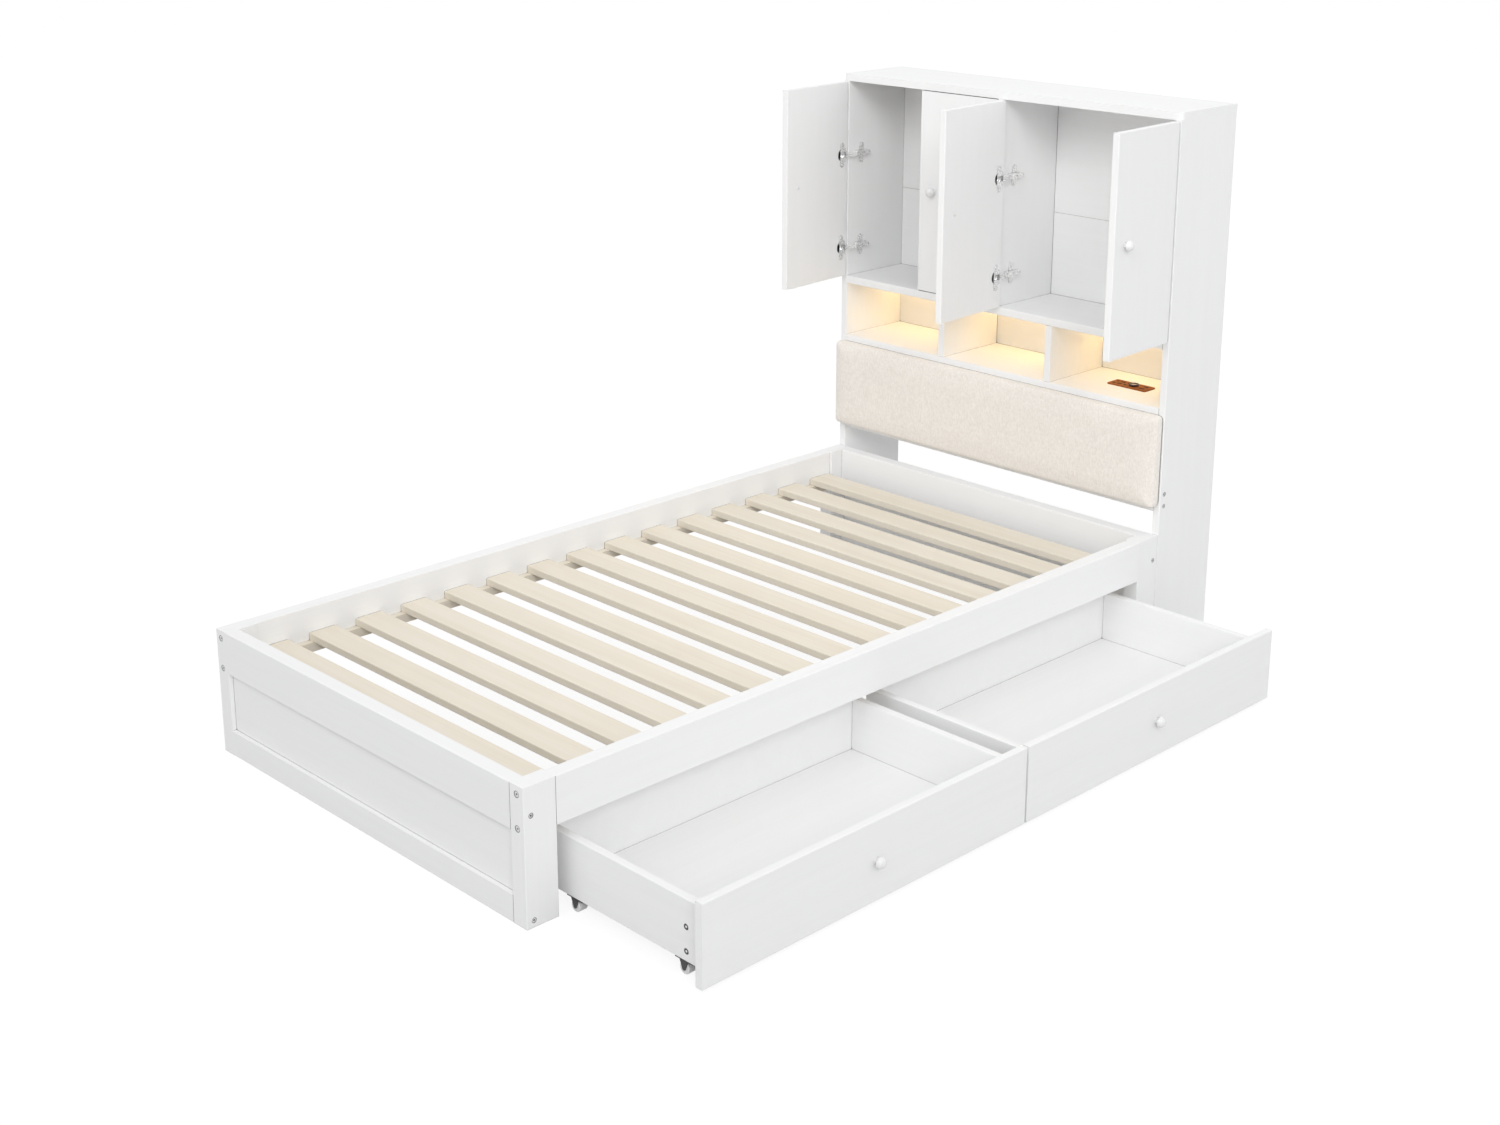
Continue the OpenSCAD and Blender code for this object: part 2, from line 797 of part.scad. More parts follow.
// Knob along -Y from the face that it stands on
module knob() {
    rotate([90, 0, 0]) difference() {
        union() {
            cylinder(r = knob_base_r, h = knob_base_l);
            cylinder(r = knob_neck_r, h = knob_l - knob_cap_l);
            intersection() {
                translate([0, 0, knob_l - knob_r]) sphere(r = knob_r);
                translate([0, 0, knob_l - knob_cap_l]) cylinder(r = knob_r, h = knob_cap_l + past);
            }
        }
        translate([0, 0, -past]) cylinder(r = screw_r + hole_fit, h = knob_screw_in + hole_fit + past);
    }
}

// Screw of that knob, through a board behind it
module knob_screw(through) {
    translate([0, through, 0]) rotate([0, 0, 180]) screw(through + knob_screw_in);
}

// Hole of that screw through the board
module knob_hole(through) {
    translate([0, through, 0]) rotate([0, 0, 180]) screw_hole(through + past);
}

module at_door_knob() {
    translate([door_gap + door_w - door_knob_in, 0, door_z + door_knob_up]) children();
}

module door_leaf() {
    difference() {
        translate([door_gap, 0, door_z]) bar([door_w, door_t, door_h], "z");
        for (z = hinge_zs) translate([cup_u, door_t, z]) {
            rotate([90, 0, 0]) translate([0, 0, -past]) cylinder(r = cup_r + hole_fit, h = cup_d + past);
            for (s = [-1, 1])
                translate([0, 0, s * flange_screw]) rotate([0, 0, 180]) screw_hole(hinge_screw_l);
        }
        at_door_knob() knob_hole(door_t);
    }
}

// Two ears of the lug on a hinge's flange, one outside each link plate
module hinge_lug() {
    for (s = [0, 1]) mirror([0, 0, s]) translate([0, 0, ear_z]) linear_extrude(ear_t) {
        translate(lug) circle(r = lug_r);
        polygon([
            [lug.x + lug_r, lug.y],
            [lug.x - lug_r, lug.y],
            [lug.x + lug_foot.x, door_t],
            [lug.x + lug_foot.y / 2, door_t]
        ]);
    }
    translate([lug.x + lug_foot.x, door_t, -lug_foot_h / 2])
        cube([lug_foot.y - lug_foot.x, flange_t, lug_foot_h]);
}

// Flange over a cup: two screw lobes and a wide middle
module flange_shape() {
    strip([0, -flange_screw], [0, flange_screw], flange_lobe_r);
    translate([flange_u - cup_u, -flange_mid_h / 2]) rounded(flange_w, flange_mid_h, flange_corner_r);
}

// Cup, flange, lug and screws of one hinge, in a closed door
module hinge_cup() {
    translate([cup_u, door_t, 0]) {
        rotate([90, 0, 0]) difference() {
            cylinder(r = cup_r, h = cup_d);
            translate([0, 0, -past]) cylinder(r = cup_r - cup_wall, h = cup_d - cup_wall + past);
        }
        difference() {
            union() {
                translate([0, flange_t, 0]) rotate([90, 0, 0]) linear_extrude(flange_t) flange_shape();
                translate([-cup_u, -door_t, 0]) hinge_lug();
            }
            translate([flange_u - cup_u, -past, -slot_h / 2])
                cube([flange_w + flange_lobe_r, flange_t + 2 * past, slot_h]);
            for (s = [-1, 1])
                translate([0, flange_t, s * flange_screw]) rotate([0, 0, 180]) screw_hole(flange_t);
        }
        for (s = [-1, 1])
            translate([0, flange_t, s * flange_screw]) rotate([0, 0, 180]) screw(flange_t + hinge_screw_l);
    }
}

module door(i) {
    color("white") place_door(i) door_leaf();
}

module door_knob(i) {
    color("white") place_door(i) at_door_knob() {
        knob();
        knob_screw(door_t);
    }
}

module door_hinge_cups(i) {
    color("silver") place_door(i) for (z = hinge_zs) translate([0, 0, z]) hinge_cup();
}

// Two link plates on each hinge, one at either side of its tongue
module door_hinge_links(i) {
    length = norm(link_reach(i - 1));
    color("silver") on_panel(i) for (z = hinge_zs, s = [0, 1])
        translate([link_pin.x, link_pin.y, z]) mirror([0, 0, s]) translate([0, 0, tongue_h / 2 + link_gap])
            rotate([0, 0, link_angle(i - 1)]) difference() {
                linear_extrude(link_t) strip([0, 0], [length, 0], link_r);
                translate([0, 0, -past]) cylinder(r = pin_r + axle_clear, h = link_t + 2 * past);
            }
}

// Sets a drawer, drawn from the foot end of its front, into its place along the bed
module place_drawer(i) {
    translate([0, span_y + drawer_post_gap + (i - 1) * (front_w + drawer_mid_gap), 0]) children();
}

// Mirrors what is drawn at a drawer's foot end to its head end when on
module flip_drawer(on) {
    if (on) translate([0, front_w, 0]) mirror([0, 1, 0]) children();
    else children();
}

module at_drawer_knob() {
    translate([front_x + drawer_front_t, front_w / 2, drawer_floor_gap + front_h / 2])
        rotate([0, 0, 90]) children();
}

// Places of the connectors on the outside of a drawer's foot side
module at_cams() {
    for (z = cam_zs) translate([front_x - cam_in, drawer_side_in, z]) children();
}

// Round connector in a drawer's side with its bolt into the front
module cam(gap = 0) {
    open = gap > 0 ? past : 0;
    translate([0, -open, 0]) rotate([-90, 0, 0])
        cylinder(r = cam_r + gap, h = drawer_side_t / 2 + cam_r / 2 + gap + open);
    translate([0, drawer_side_t / 2, 0]) rotate([0, 90, 0])
        cylinder(r = cam_bolt_r + gap, h = cam_in + cam_bolt_l + gap);
}

// Places of the casters' screws in a drawer's foot side
module at_caster_screws() {
    side_y = drawer_side_in + drawer_side_t / 2;
    for (x = caster_xs, s = [-1, 1])
        translate([x + s * (caster_l / 2 - plate_screw_in), side_y, side_z - caster_plate_t])
            rotate([90, 0, 0]) children();
}

module drawer_front(i) {
    color("white") place_drawer(i) difference() {
        translate([front_x, 0, drawer_floor_gap]) bar([drawer_front_t, front_w, front_h], "y");
        at_drawer_knob() knob_hole(drawer_front_t);
        for (far = [false, true]) flip_drawer(far) at_cams() cam(hole_fit);
    }
}

// Two sides and the back of a drawer
module drawer_box(i) {
    inside = drawer_side_in + drawer_side_t;
    color("white") place_drawer(i) {
        for (far = [false, true]) flip_drawer(far) difference() {
            translate([box_x, drawer_side_in, side_z]) bar([drawer_side_l, drawer_side_t, side_h], "x");
            at_cams() cam(hole_fit);
            at_caster_screws() screw_hole(plate_screw_l);
        }
        translate([box_x, inside + box_fit, side_z])
            bar([drawer_side_t, front_w - 2 * (inside + box_fit), side_h], "y");
    }
}

module drawer_bottom(i) {
    inside = drawer_side_in + drawer_side_t;
    color("white") place_drawer(i) translate([box_x + drawer_side_t, inside, side_z])
        cube([drawer_side_l - drawer_side_t, front_w - 2 * inside, drawer_bottom_t]);
}

module drawer_knob(i) {
    color("white") place_drawer(i) at_drawer_knob() {
        knob();
        knob_screw(drawer_front_t);
    }
}

module drawer_connectors(i) {
    color("silver") place_drawer(i) for (far = [false, true]) flip_drawer(far) {
        at_cams() cam();
        at_caster_screws() screw(plate_screw_l);
    }
}

// Triangular cheek of a caster, from its top plate down round the axle
module fork(y) {
    top = side_z - caster_plate_t - wheel_r;
    translate([0, y + fork_t, wheel_r]) rotate([90, 0, 0]) linear_extrude(fork_t) {
        polygon([[-fork_hub_r, 0], [fork_hub_r, 0], [fork_top_w / 2, top], [-fork_top_w / 2, top]]);
        circle(r = fork_hub_r);
    }
}

// Fixed caster without its wheel, from the outside of its outer cheek
module caster_bracket() {
    translate([-caster_l / 2, 0, side_z - caster_plate_t]) difference() {
        cube([caster_l, caster_w, caster_plate_t]);
        for (x = [plate_screw_in, caster_l - plate_screw_in])
            translate([x, drawer_side_t / 2 - caster_in, 0]) rotate([90, 0, 0]) screw_hole(caster_plate_t);
    }
    fork(0);
    fork(caster_w - fork_t);
    translate([0, 0, wheel_r]) rotate([-90, 0, 0]) cylinder(r = axle_r, h = caster_w);
}

module drawer_casters(i) {
    color("black") place_drawer(i) for (far = [false, true], x = caster_xs) flip_drawer(far)
        translate([x, drawer_side_in + caster_in, 0]) caster_bracket();
}

module caster_wheel() {
    translate([0, fork_t + fork_gap, wheel_r]) rotate([-90, 0, 0]) rotate_extrude()
        translate([axle_r + axle_clear, 0]) rounded(wheel_r - axle_r - axle_clear, wheel_w, wheel_edge_r);
}

module drawer_wheels(i, row) {
    color("gainsboro") place_drawer(i) for (far = [false, true]) flip_drawer(far)
        translate([caster_xs[row], drawer_side_in + caster_in, 0]) caster_wheel();
}

post(true, false);  // foot_post_left
post(false, false);  // foot_post_right
post(true, true);  // head_post_left
post(false, true);  // head_post_right
top_rail(false);  // foot_top_rail
bottom_rail(false);  // foot_bottom_rail
top_rail(true);  // head_top_rail
bottom_rail(true);  // head_bottom_rail
end_panels();
side_rail(true);  // side_rail_left
side_rail(false);  // side_rail_right
ledgers();
slats();
frame_bolts();
bookcase_side(true);  // bookcase_side_left
bookcase_side(false);  // bookcase_side_right
bookcase_top();
cabinet_shelf();
cabinet_divider();
cubby_dividers();
cubby_floor();
back_panels();
pad_cross_rail();
pad_board();
headboard_pad();
charging_plate();
light_strips();
hinge_arms();
door(1);  // door_1
door(2);  // door_2
door(3);  // door_3
door(4);  // door_4
door_knob(1);  // door_1_knob
door_knob(2);  // door_2_knob
door_knob(3);  // door_3_knob
door_knob(4);  // door_4_knob
door_hinge_cups(1);  // door_1_hinge_cups
door_hinge_cups(2);  // door_2_hinge_cups
door_hinge_cups(3);  // door_3_hinge_cups
door_hinge_cups(4);  // door_4_hinge_cups
door_hinge_links(1);  // door_1_hinge_links
door_hinge_links(2);  // door_2_hinge_links
door_hinge_links(3);  // door_3_hinge_links
door_hinge_links(4);  // door_4_hinge_links
drawer_front(1);  // drawer_1_front
drawer_box(1);  // drawer_1_box
drawer_bottom(1);  // drawer_1_bottom
drawer_knob(1);  // drawer_1_knob
drawer_connectors(1);  // drawer_1_connectors
drawer_casters(1);  // drawer_1_casters
drawer_wheels(1, 0);  // drawer_1_front_wheels
drawer_wheels(1, 1);  // drawer_1_rear_wheels
drawer_front(2);  // drawer_2_front
drawer_box(2);  // drawer_2_box
drawer_bottom(2);  // drawer_2_bottom
drawer_knob(2);  // drawer_2_knob
drawer_connectors(2);  // drawer_2_connectors
drawer_casters(2);  // drawer_2_casters
drawer_wheels(2, 0);  // drawer_2_front_wheels
drawer_wheels(2, 1);  // drawer_2_rear_wheels
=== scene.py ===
"""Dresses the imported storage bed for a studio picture, with its pieces left where the solids are.

Lengths are metres in the bed's own frame: X across the bed towards the drawers, Y from the
foot to the bookcase, Z up from the floor.
"""

import json
import logging
from contextlib import contextmanager
from dataclasses import dataclass
from enum import Enum
from typing import Iterable, Iterator

import bmesh
import bpy
import numpy as np
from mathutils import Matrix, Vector

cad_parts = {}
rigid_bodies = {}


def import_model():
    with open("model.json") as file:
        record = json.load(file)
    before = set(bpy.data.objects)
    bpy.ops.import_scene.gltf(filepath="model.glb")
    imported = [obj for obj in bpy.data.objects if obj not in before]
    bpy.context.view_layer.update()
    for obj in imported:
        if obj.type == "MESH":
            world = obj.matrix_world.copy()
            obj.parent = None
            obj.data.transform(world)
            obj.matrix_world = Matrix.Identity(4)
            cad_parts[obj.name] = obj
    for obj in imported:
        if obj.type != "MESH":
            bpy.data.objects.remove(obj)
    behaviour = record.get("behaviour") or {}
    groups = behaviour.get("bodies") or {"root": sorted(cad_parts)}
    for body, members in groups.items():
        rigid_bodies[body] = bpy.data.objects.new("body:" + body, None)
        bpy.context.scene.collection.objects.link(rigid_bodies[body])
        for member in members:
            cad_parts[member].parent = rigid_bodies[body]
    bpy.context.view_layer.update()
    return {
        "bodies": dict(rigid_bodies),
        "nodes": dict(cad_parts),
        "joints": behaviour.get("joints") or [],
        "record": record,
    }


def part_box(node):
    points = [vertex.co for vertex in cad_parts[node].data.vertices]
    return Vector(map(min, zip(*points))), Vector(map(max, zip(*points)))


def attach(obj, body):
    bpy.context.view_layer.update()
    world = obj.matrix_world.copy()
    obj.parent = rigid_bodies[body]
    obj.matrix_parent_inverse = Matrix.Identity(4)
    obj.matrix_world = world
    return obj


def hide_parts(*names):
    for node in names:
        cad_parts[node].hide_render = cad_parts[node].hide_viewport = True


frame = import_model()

LOG = logging.getLogger("bed")
# Points of a quarter circle at a corner, and of one that rounds the edge of a tile
CORNER_STEPS = 8
EDGE_STEPS = 5
# Points along each side of a tile
TILE_SIDES = (4, 4)
LEAST_RADIUS = 0.0005
# Points of a solid, or of a new piece, that lie closer than this are one point
SOLID_MERGE = 1e-6
PIECE_MERGE = 1e-7
# A noise's values crowd round its middle, and these two are stretched to 0 and 1
NOISE_LOW = 0.3
NOISE_HIGH = 0.7
MILLIMETRES = 1000
DRAWERS = (1, 2)
Pair = tuple[float, float]
Colour = tuple[float, float, float]
Point = tuple[float, float, float]
Material = bpy.types.Material
Node = bpy.types.Node
Socket = bpy.types.NodeSocket
Piece = bpy.types.Object
ORIGIN = (0.0, 0.0, 0.0)
WHITE = (1.0, 1.0, 1.0, 1.0)


class Run(Enum):
    """The axis that a board's grain runs along."""

    ACROSS = 0
    ALONG = 1
    UP = 2

    def stretch(self, fine: float, coarse: float) -> Point:
        """Scales of a pattern that is coarse along the grain and fine across it."""
        return tuple(coarse if axis == self.value else fine for axis in range(3))


class Tree:
    """A node tree with short calls for adding nodes and joining their sockets."""

    # Softness and samples of the ambient-occlusion mask that paints shade where surfaces stand close
    shade_softness = 0.18
    shade_samples = 8

    def __init__(self, nodes: bpy.types.NodeTree) -> None:
        """Keeps the tree of a material, a world or a group."""
        self.tree = nodes

    def feed(self, node: Node, sockets: dict) -> Node:
        """Sets or joins inputs of a node.

        Args:
            node: the node.
            sockets: value or output socket for each input, by its name or number.

        Returns:
            The same node.
        """
        for key, value in sockets.items():
            if isinstance(value, Socket):
                self.tree.links.new(value, node.inputs[key])
            else:
                node.inputs[key].default_value = value
        return node

    def add(self, kind: str, sockets: dict | None = None, **settings: object) -> Node:
        """Adds a node, and sets or joins its inputs.

        Args:
            kind: Blender's name of the node, without "ShaderNode".
            sockets: value or output socket for each input, by its name or number.
            settings: the node's own properties.

        Returns:
            The new node.
        """
        node = self.tree.nodes.new("ShaderNode" + kind)
        for name, value in settings.items():
            setattr(node, name, value)
        return self.feed(node, sockets or {})

    def math(self, operation: str, *values: float | Socket) -> Socket:
        """Result of a calculation with one or two values."""
        return self.add("Math", dict(enumerate(values)), operation=operation).outputs[0]

    def mix(self, share: float | Socket, first: Socket, second: Socket) -> Socket:
        """Value between two. A Mix node has its share at input 0 and its values at 2 and 3."""
        return self.add("Mix", {0: share, 2: first, 3: second}).outputs[0]

    def sharpen(self, noise: Socket) -> Socket:
        """Stretches the middle values of a noise over the whole of 0 to 1."""
        limits = {"Value": noise, "From Min": NOISE_LOW, "From Max": NOISE_HIGH}
        return self.add("MapRange", limits).outputs["Result"]

    def blend(self, mask: Socket, low: Colour | Socket, high: Colour) -> Socket:
        """Colour from low to high with a mask. A Mix node has its colours at inputs 6 and 7."""
        start = low if isinstance(low, Socket) else (*low, 1)
        return self.add("Mix", {0: mask, 6: start, 7: (*high, 1)}, data_type="RGBA").outputs[2]

    def painted_shade_mask(self, reach: float, edge: float) -> Socket:
        """Mask of painted shade: 1 where another surface stands within reach, as where boards meet or in a
        corner, else 0.

        Args:
            reach: distance in metres within which a surface counts.
            edge: openness, from 0 to 1, at which the line of painted shade ends.

        Returns:
            The mask's socket.
        """
        openness = self.add("AmbientOcclusion", {"Distance": reach}, samples=self.shade_samples)
        limits = {"Value": openness.outputs["AO"], "From Min": edge, "From Max": edge - self.shade_softness}
        return self.add("MapRange", limits).outputs["Result"]

    def spread(self, value: Socket, low: float, high: float) -> Socket:
        """Value that goes from low to high as the given one goes from 0 to 1."""
        return self.add("MapRange", {"Value": value, "To Min": low, "To Max": high}).outputs["Result"]

    def bump(self, height: Socket, strength: float, depth: float) -> Socket:
        """Normal of a surface with that height, for a depth in metres."""
        sockets = {"Height": height, "Strength": strength, "Distance": depth}
        return self.add("Bump", sockets).outputs["Normal"]


class Patterns:
    """Node groups that more than one finish uses, each built once."""

    fibre_detail = 3.0
    fibre_twist = 0.3
    band_scale = 0.13
    band_twist = 0.8
    fine_detail = 2.0
    yarn_scale = 0.8
    weft_drawn = (0.1, 1.0, 1.0)
    warp_drawn = (1.0, 0.1, 0.1)
    chequer_edge = 0.6

    def __init__(self) -> None:
        """Builds the groups."""
        self.grain = self._grain()
        self.speckle = self._speckle()
        self.weave = self._weave()

    @staticmethod
    def _group(
        name: str, inputs: dict[str, float | Point], outputs: Iterable[str]
    ) -> tuple[Tree, bpy.types.NodeOutputs, Node]:
        """An empty group with its sockets.

        Args:
            name: the group's name.
            inputs: value of each input, which is a number or a vector.
            outputs: name of each output, which are all values.

        Returns:
            The group's tree, the sockets of its inputs and the node of its outputs.
        """
        made = bpy.data.node_groups.new(name, "ShaderNodeTree")
        for label, value in inputs.items():
            kind = "NodeSocketFloat" if isinstance(value, float) else "NodeSocketVector"
            made.interface.new_socket(label, in_out="INPUT", socket_type=kind).default_value = value
        for label in outputs:
            made.interface.new_socket(label, in_out="OUTPUT", socket_type="NodeSocketFloat")
        source = made.nodes.new("NodeGroupInput")
        return Tree(made), source.outputs, made.nodes.new("NodeGroupOutput")

    def _grain(self) -> bpy.types.NodeTree:
        """Fibre streaks and broad bands of a board: two noises, stretched by a vector scale."""
        inputs = {"Vector": ORIGIN, "Scale": (1.0, 1.0, 1.0), "Bands": 0.5}
        tree, given, sink = self._group("board_grain", inputs, ["Value", "Height"])
        scaled = tree.add("VectorMath", {0: given["Vector"], 1: given["Scale"]}, operation="MULTIPLY")
        scaled = scaled.outputs["Vector"]
        fibre = tree.add("TexNoise", {"Vector": scaled, "Scale": 1.0, "Detail": self.fibre_detail,
                                      "Distortion": self.fibre_twist}).outputs["Fac"]
        coarse = tree.add("VectorMath", {0: scaled, "Scale": self.band_scale}, operation="SCALE")
        band = tree.add("TexNoise", {"Vector": coarse.outputs["Vector"], "Scale": 1.0,
                                     "Detail": self.fine_detail, "Distortion": self.band_twist})
        streaks = tree.mix(given["Bands"], fibre, band.outputs["Fac"])
        tree.feed(sink, {"Value": tree.sharpen(streaks), "Height": fibre})
        return tree.tree

    def _speckle(self) -> bpy.types.NodeTree:
        """Fine even roughness of paint, plating and moulded surfaces: noise at one scale."""
        inputs = {"Vector": ORIGIN, "Scale": 600.0}
        tree, given, sink = self._group("fine_speckle", inputs, ["Value"])
        noise = tree.add("TexNoise", {"Vector": given["Vector"], "Scale": given["Scale"],
                                      "Detail": self.fine_detail})
        tree.feed(sink, {"Value": tree.sharpen(noise.outputs["Fac"])})
        return tree.tree

    def _weave(self) -> bpy.types.NodeTree:
        """Plain weave of slubby yarn: noise drawn out along X for weft and along Z for warp.

        A chequer of two sines lifts the warp and the weft by turns, and the yarn that lies
        on top gives the colour value and the height.
        """
        inputs = {"Vector": ORIGIN, "Pitch": 0.001}
        tree, given, sink = self._group("plain_weave", inputs, ["Value", "Height"])
        per_metre = tree.math("DIVIDE", 1.0, given["Pitch"])
        turns = tree.add("VectorMath", {0: given["Vector"], "Scale": per_metre}, operation="SCALE")
        turns = turns.outputs["Vector"]
        yarns = []
        for drawn in (self.weft_drawn, self.warp_drawn):
            stretched = tree.add("VectorMath", {0: turns, 1: drawn}, operation="MULTIPLY")
            yarn = tree.add("TexNoise", {"Vector": stretched.outputs["Vector"], "Scale": self.yarn_scale,
                                         "Detail": self.fine_detail})
            yarns.append(yarn.outputs["Fac"])
        parts = tree.add("SeparateXYZ", {0: turns}).outputs
        depth = tree.math("ADD", parts["Y"], parts["Z"])
        waves = [tree.math("SINE", tree.math("MULTIPLY", place, np.pi)) for place in (parts["X"], depth)]
        chequer = tree.math("MULTIPLY", *waves)
        edge = self.chequer_edge
        over = tree.add("MapRange", {"Value": chequer, "From Min": -edge, "From Max": edge})
        value = tree.sharpen(tree.mix(over.outputs["Result"], *yarns))
        height = tree.math("ADD", tree.math("ABSOLUTE", chequer), value)
        tree.feed(sink, {"Value": value, "Height": height})
        return tree.tree


PATTERNS = Patterns()


def new_surface(name: str) -> tuple[Material, Tree, Node, Socket]:
    """Starts a material.

    Args:
        name: the material's name.

    Returns:
        The material, its tree, its Principled BSDF and the socket of Object coordinates.
    """
    material = bpy.data.materials.new(name)
    material.use_nodes = True
    tree = Tree(material.node_tree)
    shader = next(n for n in tree.tree.nodes if n.type == "BSDF_PRINCIPLED")
    place = tree.add("TexCoord").outputs["Object"]
    return material, tree, shader, place


def speckled(tree: Tree, place: Socket, scale: float) -> Socket:
    """Value of the fine speckle, at a number of spots in a metre."""
    return tree.add("Group", {"Vector": place, "Scale": scale}, node_tree=PATTERNS.speckle).outputs["Value"]


def grey(level: float) -> Colour:
    """A colour without a tint."""
    return (level, level, level)


@dataclass(frozen=True)
class PaintedBoard:
    """Satin white paint that lets a trace of the board's grain through, with painted shade where boards
    meet.
    """

    run: Run
    light: Colour = (0.900, 0.902, 0.905)
    dark: Colour = (0.878, 0.880, 0.883)
    # Colour of the painted shade where boards meet and in corners
    joint: Colour = (0.26, 0.25, 0.24)
    roughness: float = 0.5
    uneven: Pair = (-0.05, 0.06)
    specular: float = 0.1
    grain_scale: Pair = (320.0, 9.0)
    bands: float = 0.5
    relief: float = 0.25
    grain_depth: float = 0.00012
    speckle_scale: float = 900.0
    crevice_shade_reach: float = 0.0038
    crevice_shade_edge: float = 0.62

    def material(self) -> Material:
        """The finish as a material."""
        made, tree, shader, place = new_surface("white_paint_" + self.run.name.lower())
        scale = self.run.stretch(*self.grain_scale)
        streaks = {"Vector": place, "Scale": scale, "Bands": self.bands}
        grain = tree.add("Group", streaks, node_tree=PATTERNS.grain)
        speckle = speckled(tree, place, self.speckle_scale)
        paint = tree.blend(grain.outputs["Value"], self.dark, self.light)
        smooth, rough = (self.roughness + change for change in self.uneven)
        tree.feed(shader, {
            # Painted shade: the paint darkens where another surface stands close
            "Base Color": tree.blend(tree.painted_shade_mask(self.crevice_shade_reach, self.crevice_shade_edge), paint, self.joint),
            "Roughness": tree.spread(speckle, smooth, rough),
            "Specular IOR Level": self.specular,
            "Normal": tree.bump(grain.outputs["Height"], self.relief, self.grain_depth),
        })
        return made


@dataclass(frozen=True)
class BareWood:
    """Planed wood without paint, with streaks, bands and a change from board to board."""

    name: str
    run: Run
    light: Colour
    dark: Colour
    board_scale: float = 8.0
    board_share: float = 0.3
    specular: float = 0.5
    grain_scale: Pair = (230.0, 5.0)
    bands: float = 0.62
    roughness: Pair = (0.55, 0.68)
    relief: float = 0.3
    grain_depth: float = 0.0002

    def material(self) -> Material:
        """The finish as a material."""
        made, tree, shader, place = new_surface(self.name)
        scale = self.run.stretch(*self.grain_scale)
        streaks = {"Vector": place, "Scale": scale, "Bands": self.bands}
        grain = tree.add("Group", streaks, node_tree=PATTERNS.grain).outputs
        boards = tree.add("TexNoise", {"Vector": place, "Scale": self.board_scale, "Detail": 0.0})
        shade = tree.mix(self.board_share, grain["Value"], boards.outputs["Fac"])
        tree.feed(shader, {
            "Base Color": tree.blend(shade, self.dark, self.light),
            "Roughness": tree.spread(grain["Value"], *self.roughness),
            "Specular IOR Level": self.specular,
            "Normal": tree.bump(grain["Height"], self.relief, self.grain_depth),
        })
        return made


@dataclass(frozen=True)
class Linen:
    """Slubby plain-woven linen look, off-white and lightly mottled."""

    light: Colour = (0.975, 0.934, 0.886)
    dark: Colour = (0.815, 0.760, 0.700)
    pitch: float = 0.0016
    slub: Point = (260.0, 260.0, 130.0)
    slub_share: float = 0.6
    roughness: Pair = (0.95, 0.82)
    relief: float = 0.55
    yarn_depth: float = 0.0006
    sheen: float = 0.25
    sheen_roughness: float = 0.5

    def material(self) -> Material:
        """The finish as a material."""
        made, tree, shader, place = new_surface("linen")
        weave = tree.add("Group", {"Vector": place, "Pitch": self.pitch}, node_tree=PATTERNS.weave).outputs
        streaks = {"Vector": place, "Scale": self.slub, "Bands": 0.0}
        slub = tree.add("Group", streaks, node_tree=PATTERNS.grain)
        yarn = tree.mix(self.slub_share, weave["Value"], slub.outputs["Value"])
        tree.feed(shader, {
            "Base Color": tree.blend(yarn, self.dark, self.light),
            "Roughness": tree.spread(weave["Value"], *self.roughness),
            "Normal": tree.bump(weave["Height"], self.relief, self.yarn_depth),
            "Sheen Weight": self.sheen,
            "Sheen Roughness": self.sheen_roughness,
        })
        return made


@dataclass(frozen=True)
class Metal:
    """Plated or enamelled metal with a fine roughness, with painted shade where parts meet when its shade
    factor is below 1.
    """

    name: str
    light: Colour
    dark: Colour
    metallic: float
    roughness: float
    uneven: Pair = (-0.06, 0.08)
    crease_shade: float = 1.0
    crease_shade_reach: float = 0.0022
    crease_shade_edge: float = 0.7
    speckle_scale: float = 450.0
    relief: float = 0.03
    speckle_depth: float = 0.0001

    def material(self) -> Material:
        """The finish as a material."""
        made, tree, shader, place = new_surface(self.name)
        speckle = speckled(tree, place, self.speckle_scale)
        plating_and_shade = tree.blend(speckle, self.dark, self.light)
        # Painted shade: the metal darkens where parts meet, as in a hinge's creases
        if self.crease_shade < 1:
            crease_shade_colour = tuple(self.crease_shade * channel for channel in self.dark)
            plating_and_shade = tree.blend(tree.painted_shade_mask(self.crease_shade_reach, self.crease_shade_edge), plating_and_shade, crease_shade_colour)
        smooth, rough = (self.roughness + change for change in self.uneven)
        tree.feed(shader, {
            "Base Color": plating_and_shade,
            "Metallic": self.metallic,
            "Roughness": tree.spread(speckle, smooth, rough),
            "Normal": tree.bump(speckle, self.relief, self.speckle_depth),
        })
        return made


@dataclass(frozen=True)
class Moulded:
    """Moulded plastic or thick gloss paint, even, with a faint orange peel."""

    name: str
    light: Colour
    dark: Colour
    roughness: float
    coat: float = 0.0
    coat_roughness: float = 0.12
    uneven: Pair = (-0.04, 0.05)
    speckle_scale: float = 260.0
    relief: float = 0.1
    speckle_depth: float = 0.0001

    def material(self) -> Material:
        """The finish as a material."""
        made, tree, shader, place = new_surface(self.name)
        speckle = speckled(tree, place, self.speckle_scale)
        smooth, rough = (self.roughness + change for change in self.uneven)
        tree.feed(shader, {
            "Base Color": tree.blend(speckle, self.dark, self.light),
            "Roughness": tree.spread(speckle, smooth, rough),
            "Normal": tree.bump(speckle, self.relief, self.speckle_depth),
            "Coat Weight": self.coat,
            "Coat Roughness": self.coat_roughness,
        })
        return made


